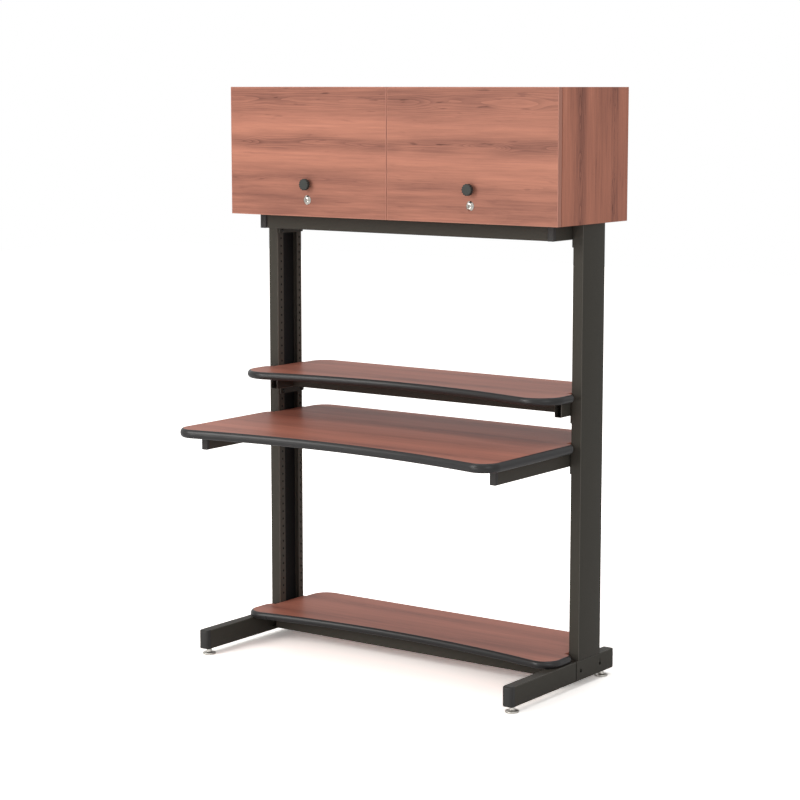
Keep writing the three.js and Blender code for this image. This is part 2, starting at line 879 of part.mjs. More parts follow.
const cabinetReach = frontReach * cabinetArmShare;
addArms('cabinet', postArm(cabinetReach, armNose), postTop - gap);
add('cabinet_rail', rail(), steel, 0, cabinetRailSetback - cabinetReach, postTop - gap);

addCabinet();
addPair('door', door(), doorWood);
addPair('hinge_leaf_door', hingeLeaf(-1), zinc);
addPair('hinge_leaf_cabinet', hingeLeaf(1), zinc);
for (const [side, x] of [['left', -doorMiddle], ['right', doorMiddle]]) {
  add(`door_knob_${side}`, knob(), knobPlastic, x);
  add(`lock_body_${side}`, lockBody(), chrome, x);
  add(`lock_plug_${side}`, lockPlug(), chrome, x);
  add(`lock_strike_${side}`, strike(), zinc, x);
}

export default group;
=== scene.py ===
import math

import bmesh
import bpy
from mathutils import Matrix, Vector
from mathutils.geometry import tessellate_polygon


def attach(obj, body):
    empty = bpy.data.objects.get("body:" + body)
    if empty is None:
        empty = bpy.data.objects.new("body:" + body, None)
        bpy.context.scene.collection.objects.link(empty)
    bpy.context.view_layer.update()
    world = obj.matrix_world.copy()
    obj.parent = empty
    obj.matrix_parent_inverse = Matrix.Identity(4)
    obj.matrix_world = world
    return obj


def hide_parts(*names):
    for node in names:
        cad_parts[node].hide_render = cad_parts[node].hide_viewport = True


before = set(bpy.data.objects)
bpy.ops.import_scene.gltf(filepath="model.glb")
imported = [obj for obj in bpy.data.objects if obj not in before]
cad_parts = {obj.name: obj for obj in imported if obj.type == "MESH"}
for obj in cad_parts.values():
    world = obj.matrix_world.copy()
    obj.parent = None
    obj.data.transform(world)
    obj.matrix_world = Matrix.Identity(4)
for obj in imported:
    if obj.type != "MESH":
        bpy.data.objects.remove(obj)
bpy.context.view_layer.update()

METRE = 1000.0
# How far a cutting shape reaches past a surface, and how near a plane a face counts as lying on it
OVERRUN, NEAR = 5.0, 0.1

# Sizes of the CAD solids in millimetres, Y from the posts' front plane
WIDTH, DEPTH, HEIGHT = 1237.0, 725.0, 1824.0
GAP = 0.3
POST_WIDTH, POST_DEPTH, POST_WALL, POST_CORNER, POST_LIP = 35.0, 127.0, 2.5, 1.5, 5.0
POST_INSET, REAR_REACH = 15.0, 104.6
POST_OUT = WIDTH / 2 - POST_INSET
POST_IN = POST_OUT - POST_WIDTH
POST_MIDDLE = POST_OUT - POST_WIDTH / 2
BACK = POST_DEPTH + REAR_REACH
REACH = DEPTH - BACK
SHIFT = DEPTH / 2 - BACK
FOOT_LOW, FOOT_TOP = 20.0, 83.0
CABINET_HEIGHT = 405.0
POST_TOP = HEIGHT - CABINET_HEIGHT
Q = math.pi / 2

# Rack strips
STRIP, FRONT_STRIP_WIDTH, REAR_STRIP_WIDTH = 1.6, 26.2, 19.2
FRONT_STRIP = (POST_LIP + GAP, FRONT_STRIP_WIDTH)
REAR_STRIP = (POST_DEPTH - POST_LIP - GAP - REAR_STRIP_WIDTH, REAR_STRIP_WIDTH)
FRONT_HOLE, REAR_HOLE_SETBACK = 19.7, 12.5
REAR_HOLE = POST_DEPTH - REAR_HOLE_SETBACK
HOLE_RADIUS, PITCH = 3.5, 25.4

# Feet
FOOT_HEIGHT, FOOT_WALL, FOOT_CORNER = 63.0, 2.5, 3.0
FOOT_JOINT, JOINT_GAP, TUBE_CORNER = 9.7, 4.5, 0.5
FOOT_SHARE, FOOT_BEHIND = 0.764, 83.0
FOOT_FRONT, FOOT_BACK = -REACH * FOOT_SHARE, POST_DEPTH + FOOT_BEHIND
FRONT_CAP, REAR_CAP = 20.0, 11.0
SLEEVE_LENGTH = 48.0
BOLT_HEIGHT, BOLT_HOLE, KEY_SLOT = 50.0, 5.0, 3.5
FRONT_BOLT, FRONT_SLOT, REAR_BOLT_BEHIND, REAR_SLOT = 15.0, 8.5, 1.6, 16.5
BOLTS = ((FRONT_BOLT, FRONT_SLOT), (POST_DEPTH + REAR_BOLT_BEHIND, REAR_SLOT))
GLIDE_SETBACK, REAR_GLIDE_SETBACK, GLIDE_BORE = 32.0, 45.0, 5.3
FRONT_GLIDE, REAR_GLIDE = FOOT_FRONT + GLIDE_SETBACK, FOOT_BACK - REAR_GLIDE_SETBACK

# Arms and rails
ARM_WIDTH, ARM_HEIGHT, ARM_WALL, ARM_CORNER, ARM_INNER_CORNER = 25.4, 48.0, 2.0, 3.0, 1.0
PLATE, PLATE_FRONT, PLATE_DROP, PLATE_CORNER = 6.4, 5.0, 23.0, 3.0
ARM_OUT = POST_IN - GAP - PLATE
ARM_IN = ARM_OUT - ARM_WIDTH
ARM_MIDDLE = (ARM_IN + ARM_OUT) / 2
ARM_NOSE, ARM_EDGE, ARM_CAP = 5.5, 2.0, 9.0
BOLT_BELOW_ARM, SLOT_PLAY, BOLT_ROW_DROP = 13.5, 2.5, 15.5
BOLT_ROW = POST_TOP - ARM_HEIGHT - BOLT_ROW_DROP
ROWS_BELOW, ROWS_ABOVE = 48, 2
ROWS = [BOLT_ROW + PITCH * row for row in range(-ROWS_BELOW, ROWS_ABOVE + 1)]

# Shelves: height, thickness, reach share, corner share, sag share, arm share
EDGE_WIDTH, EAR, NOTCH_FRONT, NOTCH_BACK, REAR_CORNER = 9.0, 27.0, 18.0, 2.0, 60.0
EDGE_SIDE_INSET, BOARD_PLAY, BOARD_SEAM = 3.5, 1.5, 0.15
EDGE_SIDE, BOARD_SIDE = POST_OUT - EDGE_SIDE_INSET, POST_IN - BOARD_PLAY
LOWER_BOARD = 23.0
SHELVES = {
    "work_surface": (758.0, 28.0, 1.0, 0.122, 0.116, 0.811),
    "upper_shelf": (910.0, 24.0, 0.361, 0.505, 0.365, 0.093),
    "lower_shelf": (FOOT_TOP + GAP + LOWER_BOARD, LOWER_BOARD, 0.314, 0.387, 0.31, 0.1155),
}
CABINET_ARM_SHARE, LOW_PLATE_BEHIND = 0.1966, 12.0
CABINET_ARM, LOW_PLATE_BACK = REACH * CABINET_ARM_SHARE, POST_DEPTH + LOW_PLATE_BEHIND
CABINET_RAIL_SETBACK, RAIL_SETBACK = 6.0, 40.0

# Cabinet, doors and fittings
PANEL, BACK_PANEL, DOOR_SEAM, DOOR_REBATE, BAND = 19.0, 12.0, 1.8, 2.0, 2.0
DOOR_SHARE, DOOR_STANDOFF = 0.3425, 3.2
DOOR_FRONT = -REACH * DOOR_SHARE
DOOR_BACK = DOOR_FRONT + PANEL
CARCASS = DOOR_BACK + DOOR_STANDOFF
KNUCKLE, KNUCKLE_PLAY, LEAF_HEIGHT = 2.4, 0.5, 12.0
HINGE_Y, HINGE_Z = DOOR_BACK + DOOR_STANDOFF / 2, HEIGHT - KNUCKLE - KNUCKLE_PLAY
HINGE_LOW = HINGE_Z - KNUCKLE - KNUCKLE_PLAY
DOOR_MIDDLE = WIDTH / 4
LOCK_HEIGHT, KNOB_HEIGHT, BARREL_BEHIND = 52.0, 101.0, 9.0
LOCK_Z, KNOB_Z = POST_TOP + LOCK_HEIGHT, POST_TOP + KNOB_HEIGHT
LOCK_HOLE, SCREW_HOLE = 9.8, 2.5
BARREL_END = DOOR_BACK + BARREL_BEHIND
INNER = WIDTH / 2 - PANEL


# Mesh helpers

MERGE_DISTANCE, CUT_MERGE_DISTANCE = 2e-6, 1e-3
BEVELLED_ANGLE, BEVELLED_SHARP_ANGLE = 40, 60


def place(point):
    """A point in millimetres from the posts' front plane, in the frame's metres."""
    return (point[0] / METRE, (point[1] + SHIFT) / METRE, point[2] / METRE)


def cleaned(verts, faces, distance):
    """A mesh whose points nearer than a distance are one and whose faces look outwards."""
    mesh = bpy.data.meshes.new("shape")
    mesh.from_pydata(verts, [], faces)
    work = bmesh.new()
    work.from_mesh(mesh)
    bmesh.ops.remove_doubles(work, verts=work.verts, dist=distance)
    bmesh.ops.recalc_face_normals(work, faces=work.faces)
    work.to_mesh(mesh)
    work.free()
    return mesh


def linked(name, data):
    obj = bpy.data.objects.new(name, data)
    bpy.context.scene.collection.objects.link(obj)
    return obj


def make(name, shape, material, body="frame", nodes=(), angle=32, bevel=0.0, segments=2,
         mirror=False, paint=()):
    """An object from (verts, faces) in mm. It rides a body and stands for CAD nodes.

    Paint holds (material, rule) pairs, the rule telling from a face's centre and normal if it is painted.
    """
    verts, faces = shape
    if mirror:
        verts = [(-x, y, z) for x, y, z in verts]
    mesh = cleaned([place(v) for v in verts], faces, MERGE_DISTANCE)
    mesh.materials.append(material)
    for number, (coat, rule) in enumerate(paint, 1):
        mesh.materials.append(coat)
        for face in mesh.polygons:
            x, y, z = face.center
            if rule((abs(x) * METRE, y * METRE - SHIFT, z * METRE), face.normal):
                face.material_index = number
    obj = linked(name, mesh)
    mesh.shade_smooth()
    if bevel:
        edge = obj.modifiers.new("edge", "BEVEL")
        edge.width = bevel / METRE
        edge.segments = segments
        edge.limit_method = "ANGLE"
        edge.angle_limit = math.radians(BEVELLED_ANGLE)
        edge.harden_normals = True
        angle = BEVELLED_SHARP_ANGLE
    mesh.set_sharp_from_angle(angle=math.radians(angle))
    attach(obj, body)
    if nodes:
        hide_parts(*nodes)
    return obj


def prism(outer, low, high, axis="z", holes=()):
    """Outline in the plane across the axis, with holes, between two levels."""
    loops = [list(outer)] + [list(hole) for hole in holes]
    flat = [point for loop in loops for point in loop]
    tris = tessellate_polygon([[Vector((p[0], p[1], 0)) for p in loop] for loop in loops])
    count = len(flat)
    order = {
        "z": lambda p, t: (p[0], p[1], t),
        "y": lambda p, t: (p[0], t, p[1]),
        "x": lambda p, t: (t, *p),
    }
    verts = [order[axis](p, low) for p in flat] + [order[axis](p, high) for p in flat]
    faces = [tuple(t) for t in tris] + [tuple(i + count for i in reversed(t)) for t in tris]
    start = 0
    for loop in loops:
        for i in range(len(loop)):
            a, b = start + i, start + (i + 1) % len(loop)
            faces.append((a, b, b + count, a + count))
        start += len(loop)
    return verts, faces


def loft(rings):
    """A closed body through rings of points."""
    count = len(rings[0])
    faces = []
    for k in range(1, len(rings)):
        for i in range(count):
            j = (i + 1) % count
            faces.append(((k - 1) * count + i, (k - 1) * count + j, k * count + j, k * count + i))
    faces.append(tuple(reversed(range(count))))
    faces.append(tuple(range((len(rings) - 1) * count, len(rings) * count)))
    return [point for ring in rings for point in ring], faces


def lathe(profile, centre, axis="z", sides=48):
    """Profile of (radius, distance) pairs round an axis through a centre."""
    turned = {
        "z": lambda u, v, t: (u, v, t),
        "y": lambda u, v, t: (u, t, v),
        "x": lambda u, v, t: (t, u, v),
    }
    rings = []
    for radius, distance in profile:
        ring = []
        for side in range(sides):
            angle = 2 * math.pi * side / sides
            point = turned[axis](radius * math.cos(angle), radius * math.sin(angle), distance)
            ring.append(tuple(c + d for c, d in zip(centre, point)))
        rings.append(ring)
    verts, faces = loft(rings)
    if profile[0] == profile[-1]:
        faces = faces[:-2]
    return verts, faces


def arc(x, y, radius, start, end, steps):
    angles = [start + (end - start) * step / steps for step in range(steps + 1)]
    return [(x + radius * math.cos(a), y + radius * math.sin(a)) for a in angles]


def circle(x, y, radius, sides=24):
    return arc(x, y, radius, 0, 2 * math.pi, sides)[:-1]


def rounded(x, y, width, height, radius, steps=6):
    dx, dy = width / 2 - radius, height / 2 - radius
    points = []
    for turn, (across, up) in enumerate([(dx, -dy), (dx, dy), (-dx, dy), (-dx, -dy)], -1):
        points += arc(x + across, y + up, radius, turn * Q, (turn + 1) * Q, steps)
    return points


def rect(x0, x1, y0, y1):
    return [(x0, y0), (x1, y0), (x1, y1), (x0, y1)]


def merge(*shapes):
    verts, faces = [], []
    for part_verts, part_faces in shapes:
        base = len(verts)
        verts += part_verts
        faces += [tuple(i + base for i in face) for face in part_faces]
    return verts, faces


def block(x0, x1, y0, y1, z0, z1):
    return prism(rect(x0, x1, y0, y1), z0, z1)


def combined(shape, others, operation="DIFFERENCE"):
    """Cuts shapes out of a shape, or keeps what they share, and returns verts and faces."""
    body = linked("body", cleaned(*shape, CUT_MERGE_DISTANCE))
    for other in others:
        tool = linked("tool", cleaned(*other, CUT_MERGE_DISTANCE))
        step = body.modifiers.new("step", "BOOLEAN")
        step.object = tool
        step.operation = operation
        step.solver = "EXACT"
        bpy.context.view_layer.update()
        graph = bpy.context.evaluated_depsgraph_get()
        mesh = bpy.data.meshes.new_from_object(body.evaluated_get(graph))
        body.modifiers.clear()
        body.data = mesh
        bpy.data.objects.remove(tool, do_unlink=True)
    result = [tuple(v.co) for v in body.data.vertices], [tuple(p.vertices) for p in body.data.polygons]
    bpy.data.objects.remove(body, do_unlink=True)
    return result


# Materials

def nodes_of(name):
    mat = bpy.data.materials.new(name)
    mat.use_nodes = True
    tree = mat.node_tree
    return mat, tree, tree.nodes["Principled BSDF"]


def calc(tree, operation, *values, clamp=False):
    """A Math node on numbers or sockets."""
    node = tree.nodes.new("ShaderNodeMath")
    node.operation = operation
    node.use_clamp = clamp
    for socket, value in zip(node.inputs, values):
        if isinstance(value, (int, float)):
            socket.default_value = value
        else:
            tree.links.new(value, socket)
    return node.outputs[0]


def total(tree, base, *terms):
    """Adds weight times value for every (value, weight) pair."""
    for value, weight in terms:
        base = calc(tree, "MULTIPLY_ADD", value, weight, base)
    return base


def highest(tree, values):
    """The largest of several sockets."""
    result = values[0]
    for value in values[1:]:
        result = calc(tree, "MAXIMUM", result, value)
    return result


def mapped(tree, vector, scale, offset=(0, 0, 0)):
    node = tree.nodes.new("ShaderNodeMapping")
    node.inputs["Scale"].default_value = scale
    node.inputs["Location"].default_value = offset
    tree.links.new(vector, node.inputs["Vector"])
    return node.outputs["Vector"]


def noise(tree, vector, detail=2.0, roughness=0.5, scale=1.0):
    """Noise round zero, about -0.5 to 0.5."""
    node = tree.nodes.new("ShaderNodeTexNoise")
    node.inputs["Scale"].default_value = scale
    node.inputs["Detail"].default_value = detail
    node.inputs["Roughness"].default_value = roughness
    tree.links.new(vector, node.inputs["Vector"])
    return calc(tree, "SUBTRACT", node.outputs["Fac"], 0.5)


def ramp(tree, value, stops):
    node = tree.nodes.new("ShaderNodeValToRGB")
    elements = node.color_ramp.elements
    elements.remove(elements[1])
    elements[0].position, elements[0].color = stops[0][0], (*stops[0][1], 1)
    for position, color in stops[1:]:
        elements.new(position).color = (*color, 1)
    tree.links.new(value, node.inputs["Fac"])
    return node.outputs["Color"]


def linear(*channels):
    """A display colour of 0 to 255 as scene light, by the sRGB curve."""
    toe, slope, offset, power = 10, 12.92, 0.055, 2.4
    light = []
    for channel in channels:
        share = channel / 255
        light.append(share / slope if channel <= toe else ((share + offset) / (1 + offset)) ** power)
    return tuple(light)


def bump(tree, bsdf, height, strength, distance):
    node = tree.nodes.new("ShaderNodeBump")
    node.inputs["Strength"].default_value = strength
    node.inputs["Distance"].default_value = distance
    tree.links.new(height, node.inputs["Height"])
    tree.links.new(node.outputs["Normal"], bsdf.inputs["Normal"])


def hill(tree, value, centre, width):
    """A smooth hill of height 1 round a centre."""
    offset = calc(tree, "DIVIDE", calc(tree, "SUBTRACT", value, centre), width)
    square = calc(tree, "MULTIPLY", offset, offset)
    return calc(tree, "DIVIDE", 1.0, calc(tree, "ADD", 1.0, calc(tree, "MULTIPLY", square, square)))


# Grain: waves per metre along and across, place in the noise, detail, roughness, weight
GRAIN = {
    "broad": (0.75, 12.0, 1.0, 3.0, 0.55, 0.95),
    "cloud": (3.2, 55.0, 2.0, 4.0, 0.62, 0.62),
    "streaks": (4.5, 170.0, 3.0, 3.0, 0.65, 0.5),
    "fibres": (26.0, 750.0, 4.0, 2.0, 0.6, 0.22),
}
GRAIN_LEVEL = 0.68
RING_WEIGHT, FLECK_WEIGHT, SHADE_WEIGHT = -0.26, -0.42, -0.34
RINGS_PER_ARCH, RING_WAVE, RING_SHARPNESS, ARCH_SHARPNESS = 4.2, 1.1, 1.5, 1.5
BAND_WANDER, ARCH_SWELL, ARCH_LEVEL, KNOT_SWELL, BAND_SPREAD = 0.035, 2.6, 0.9, 0.9, 1.15
FLECK_GAIN, FLECK_CUT = 9.0, -1.35
SEED_STEPS = (3.1, 1.7, 2.3)


def cathedral(tree, u, v, bands, stretched, knot, arches_per_metre):
    """Arched figure: the arches' height, how much of the figure a place has, how dark the place is."""
    wander = noise(tree, stretched(2.2, 2.2), 2.0, 0.5)
    figures, masks, dark = [], [], 0.0
    for number, (place_across, half, weight, shade) in enumerate(bands):
        centre = calc(tree, "MULTIPLY_ADD", wander, BAND_WANDER, place_across)
        off = calc(tree, "DIVIDE", calc(tree, "SUBTRACT", v, centre), half)
        away = calc(tree, "POWER", calc(tree, "ABSOLUTE", off), ARCH_SHARPNESS)
        swell = noise(tree, stretched(arches_per_metre, 1.0, 11.0 * (number + 1)), 1.5, 0.5)
        swell = calc(tree, "MULTIPLY_ADD", swell, ARCH_SWELL, ARCH_LEVEL)
        if knot and knot[2] == number:
            swell = calc(tree, "MULTIPLY_ADD", hill(tree, u, knot[0], knot[1]), KNOT_SWELL, swell)
        near = hill(tree, off, 0.0, BAND_SPREAD)
        figures.append(calc(tree, "MULTIPLY", swell, calc(tree, "SUBTRACT", 1.0, away)))
        masks.append(calc(tree, "MULTIPLY", near, weight))
        dark = calc(tree, "MULTIPLY_ADD", near, shade, dark)
    return highest(tree, figures), highest(tree, masks), dark


def wood(name, along, across, bands, colors, seed, roughness=0.42, specular=0.14, knot=None, strength=1.0,
         arches_per_metre=2.7):
    """Cherry laminate. Bands are (place across, half width, weight, darkness) of cathedral figure."""
    mat, tree, bsdf = nodes_of(name)
    coord = tree.nodes.new("ShaderNodeTexCoord").outputs["Object"]
    split = tree.nodes.new("ShaderNodeSeparateXYZ")
    tree.links.new(coord, split.inputs[0])
    u, v = split.outputs["XYZ".index(along.upper())], split.outputs["XYZ".index(across.upper())]

    def stretched(long, wide, shift=0.0):
        scale = [wide] * 3
        scale["xyz".index(along)] = long
        x, y, z = (seed * step for step in SEED_STEPS)
        return mapped(tree, coord, scale, (x + shift, y - shift, z))

    figure, mask, dark = cathedral(tree, u, v, bands, stretched, knot, arches_per_metre)
    wave = noise(tree, stretched(9.0, 45.0, 4.0), 2.0, 0.5)
    phase = calc(tree, "MULTIPLY_ADD", figure, RINGS_PER_ARCH, calc(tree, "MULTIPLY", wave, RING_WAVE))
    ring = calc(tree, "POWER", calc(tree, "FRACT", phase), RING_SHARPNESS)
    patch = noise(tree, stretched(3.2, 20.0, 8.0), 2.0, 0.5)
    patches = calc(tree, "MULTIPLY_ADD", patch, 2.2, 1.0)
    rings = calc(tree, "MULTIPLY", ring, calc(tree, "MULTIPLY", mask, patches))
    shade = calc(tree, "MULTIPLY", dark, calc(tree, "MULTIPLY_ADD", patch, 2.6, 0.85))
    specks = noise(tree, stretched(11.0, 80.0, 6.0), 2.0, 0.6)
    flecks = calc(tree, "MULTIPLY_ADD", specks, FLECK_GAIN, FLECK_CUT, clamp=True)
    flecks = calc(tree, "MULTIPLY", flecks, calc(tree, "MULTIPLY_ADD", mask, 0.75, 0.25))
    layers = {
        kind: noise(tree, stretched(long, wide, shift), detail, rough)
        for kind, (long, wide, shift, detail, rough, _) in GRAIN.items()
    }
    weights = [(layers[kind], row[-1]) for kind, row in GRAIN.items()]
    weights += [(rings, RING_WEIGHT), (flecks, FLECK_WEIGHT), (shade, SHADE_WEIGHT)]
    value = total(tree, GRAIN_LEVEL, *[(layer, weight * strength) for layer, weight in weights])
    tree.links.new(ramp(tree, value, colors), bsdf.inputs["Base Color"])
    bsdf.inputs["Roughness"].default_value = roughness
    bsdf.inputs["Specular IOR Level"].default_value = specular
    bump(tree, bsdf, layers["fibres"], strength=0.06, distance=0.0002)
    return mat


def coated(name, color, roughness, specular=0.5, grain=900.0, strength=0.06, metallic=0.0):
    """Powder coat or moulded plastic with a fine texture."""
    unevenness = 0.12
    mat, tree, bsdf = nodes_of(name)
    bsdf.inputs["Base Color"].default_value = (*color, 1)
    bsdf.inputs["Metallic"].default_value = metallic
    bsdf.inputs["Specular IOR Level"].default_value = specular
    coord = tree.nodes.new("ShaderNodeTexCoord").outputs["Object"]
    wide = noise(tree, coord, detail=3.0, roughness=0.55, scale=9.0)
    tree.links.new(calc(tree, "MULTIPLY_ADD", wide, unevenness, roughness), bsdf.inputs["Roughness"])
    bump(tree, bsdf, noise(tree, coord, scale=grain), strength, distance=0.0003)
    return mat


def metal(name, color, roughness, brushed=0.0):
    mat, tree, bsdf = nodes_of(name)
    bsdf.inputs["Base Color"].default_value = (*color, 1)
    bsdf.inputs["Metallic"].default_value = 1.0
    bsdf.inputs["Roughness"].default_value = roughness
    if brushed:
        coord = tree.nodes.new("ShaderNodeTexCoord").outputs["Object"]
        fine = noise(tree, coord, roughness=0.6, scale=260.0)
        tree.links.new(calc(tree, "MULTIPLY_ADD", fine, brushed, roughness), bsdf.inputs["Roughness"])
    return mat


CHERRY = [
    (0.0, linear(108, 70, 60)), (0.3, linear(147, 98, 84)), (0.55, linear(176, 118, 99)),
    (0.8, linear(196, 132, 110)), (1.0, linear(210, 144, 121)),
]
# The shelves' cherry is the same cherry darkened by a tint: painted shade for the lower light on the shelf
# tops.
DARK_TINT, SHELF_SHADE_TINT = (1.04, 0.96, 0.93), (0.97, 0.89, 0.92)
DARK_CHERRY = [(at, tuple(c * tint for c, tint in zip(color, DARK_TINT))) for at, color in CHERRY]
SHADED_SHELF_CHERRY = [(at, tuple(c * tint for c, tint in zip(color, SHELF_SHADE_TINT))) for at, color in CHERRY]
CABINET_TOP = HEIGHT / METRE
SIDE_FRONT = (CARCASS + SHIFT) / METRE
DOOR_BANDS = [
    (CABINET_TOP - 0.045, 0.034, 1.0, 0.55), (CABINET_TOP - 0.176, 0.022, 0.9, 0.75),
    (CABINET_TOP - 0.29, 0.018, 0.6, 0.35), (CABINET_TOP - 0.375, 0.045, 0.12, 0.75),
]
# Knots: place along the grain, half length, number of the band
KNOT = (0.367, 0.07, 1)
SIDE_BANDS = [(SIDE_FRONT + 0.1, 0.03, 1.0, 0.8), (SIDE_FRONT + 0.3, 0.022, 0.9, 0.6)]
SIDE_KNOT = (CABINET_TOP - 0.21, 0.03, 1)
TOP_BANDS = [
    (-0.27, 0.03, 0.9, 0.5), (-0.1, 0.026, 0.9, 0.4), (0.09, 0.03, 0.9, 0.5), (0.27, 0.024, 0.9, 0.4),
]
door_wood = wood("door_wood", "x", "z", DOOR_BANDS, CHERRY, 1.0, knot=KNOT, strength=0.82)
side_wood = wood("side_wood", "z", "y", SIDE_BANDS, DARK_CHERRY, 2.0, knot=SIDE_KNOT, arches_per_metre=8.0)
flat_wood = wood("cabinet_wood", "x", "y", TOP_BANDS, CHERRY, 4.0)
back_wood = wood("back_wood", "x", "z", DOOR_BANDS, CHERRY, 5.0, roughness=0.5, strength=0.65)
shelf_wood = wood("shelf_wood", "x", "y", TOP_BANDS, SHADED_SHELF_CHERRY, 3.0, roughness=0.4, specular=0.12,
                  strength=0.62, arches_per_metre=5.0)
banding = coated("edge_banding", linear(186, 124, 104), 0.4, 0.4, 600.0, 0.03)
steel = coated("powder_coat", linear(72, 69, 63), 0.42, 0.08, 1100.0, 0.05)
# Lighter, glossier copy of the powder coat for rounded edges: a painted highlight.
steel_edge_highlight = coated("powder_coat_edge_highlight", linear(96, 92, 84), 0.3, 0.4, 1100.0, 0.03)
# Darker, neutral copy of the powder coat for inside the uprights' channels: painted shade.
steel_inside_shade = coated("powder_coat_inside_painted_shade", linear(48, 48, 48), 0.5, 0.08, 1100.0, 0.03)
edging = coated("edging_plastic", linear(49, 48, 48), 0.3, 0.34, 700.0, 0.03)
cap_plastic = coated("cap_plastic", linear(62, 61, 60), 0.42, 0.2, 700.0, 0.05)
knob_plastic = coated("knob_plastic", linear(62, 64, 61), 0.5, 0.25, 900.0, 0.05)
chrome = metal("chrome", (0.7, 0.66, 0.6), 0.1)
zinc = metal("zinc", (0.55, 0.54, 0.52), 0.32, 0.1)
# Near-black copy of the powder coat for hole walls, tube insides and bolt heads seen through holes: painted
# shade.
steel_painted_shade = coated("powder_coat_painted_shade", linear(14, 14, 14), 0.6, 0.05, 1100.0, 0.03)
# Lighter copy of the powder coat for the rack strips: painted light.
steel_strip_lit = coated("powder_coat_strip_painted_light", linear(83, 79, 72), 0.42, 0.08, 1100.0, 0.05)
# Lighter, glossier copy of the powder coat for the flanges' narrow faces at the mouth: a painted highlight.
steel_lip_highlight = coated("powder_coat_lip_highlight", linear(112, 107, 98), 0.4, 0.2, 1100.0, 0.03)
# Lighter copy of the powder coat for the rear flange inside the channel: painted light.
steel_rear_lit = coated("powder_coat_rear_painted_light", linear(98, 94, 86), 0.5, 0.08, 1100.0, 0.03)
nickel = metal("nickel", (0.72, 0.69, 0.64), 0.42, 0.08)
bolt_steel = coated("bolt_steel", linear(52, 50, 47), 0.35, 0.5, 900.0, 0.03, 0.4)


def is_round(centre, normal):
    """Faces of a rounded edge that runs along Y or Z, which get the painted edge highlight."""
    least, most = 0.25, 0.97
    return least < abs(normal.x) < most


def is_inside(centre, normal):
    """Faces within an upright's channel, which the uprights paint darker as shade."""
    x, y, _ = centre
    deep = POST_IN + POST_WALL - NEAR < x < POST_OUT - POST_WALL + NEAR
    return deep and POST_WALL - NEAR < y < POST_DEPTH - POST_WALL + NEAR and abs(normal.z) < 0.5


def is_behind_holes(centre, normal):
    """The inner face of the front flange, seen through the front strip's holes, painted near-black as
    shade.
    """
    return is_inside(centre, normal) and abs(centre[1] - POST_WALL) < NEAR and normal.y > 0.5


def is_rear_flange(centre, normal):
    """The inner face of the rear flange, painted lighter for the light that reaches it through the mouth.
    """
    at_rear = abs(centre[1] - POST_DEPTH + POST_WALL) < NEAR
    return at_rear and is_inside(centre, normal) and normal.y < -0.5


def is_lip(centre, normal):
    """The narrow faces of the flanges on both sides of the mouth, painted lighter as a highlight."""
    return abs(centre[0] - POST_IN) < NEAR and abs(normal.x) > 0.9


def is_hole_wall(centre, normal):
    """The walls of a rack strip's holes, painted near-black as shade."""
    _, y, z = centre
    near_hole = min(abs(y - FRONT_HOLE), abs(y - REAR_HOLE)) < HOLE_RADIUS
    return near_hole and abs(normal.x) < 0.2 and ROWS[0] - HOLE_RADIUS < z < ROWS[-1] + HOLE_RADIUS


def uprights(side, flip):
    lip = [(POST_IN, POST_LIP)]
    corner = POST_CORNER
    near, far = POST_IN + corner, POST_OUT - corner
    outline = lip + arc(near, corner, corner, 2 * Q, 3 * Q, 5) + arc(far, corner, corner, -Q, 0, 5)
    outline += arc(far, POST_DEPTH - corner, corner, 0, Q, 5)
    outline += arc(near, POST_DEPTH - corner, corner, Q, 2 * Q, 5)
    inside, web = POST_IN + POST_WALL, POST_OUT - POST_WALL
    outline += [
        (POST_IN, POST_DEPTH - POST_LIP), (inside, POST_DEPTH - POST_LIP), (inside, POST_DEPTH - POST_WALL),
        (web, POST_DEPTH - POST_WALL), (web, POST_WALL), (inside, POST_WALL), (inside, POST_LIP),
    ]
    low, high = FOOT_TOP + GAP, POST_TOP - GAP
    coats = [(steel_edge_highlight, is_round), (steel_lip_highlight, is_lip), (steel_inside_shade, is_inside),
             (steel_painted_shade, is_behind_holes), (steel_rear_lit, is_rear_flange)]
    make(f"upright_{side}", prism(outline, low, high), steel, nodes=[f"post_channel_{side}"],
         bevel=0.3, mirror=flip, paint=coats)
    strips = (("front", FRONT_STRIP, FRONT_HOLE), ("rear", REAR_STRIP, REAR_HOLE))
    for end, (start, width), hole in strips:
        holes = [circle(hole, z, HOLE_RADIUS, 24) for z in ROWS]
        strip = prism(rect(start, start + width, low, high), POST_IN, POST_IN + STRIP, "x", holes)
        make(f"strip_{end}_{side}", strip, steel_strip_lit, nodes=[f"rack_strip_{end}_{side}"],
             bevel=0.2, mirror=flip, paint=((steel_painted_shade, is_hole_wall),))


def foot_outline(side_inset=0.0, top_inset=None, radius=FOOT_CORNER):
    top = side_inset if top_inset is None else top_inset
    middle = FOOT_LOW + FOOT_HEIGHT / 2
    return rounded(POST_MIDDLE, middle, POST_WIDTH - 2 * side_inset, FOOT_HEIGHT - 2 * top, radius)


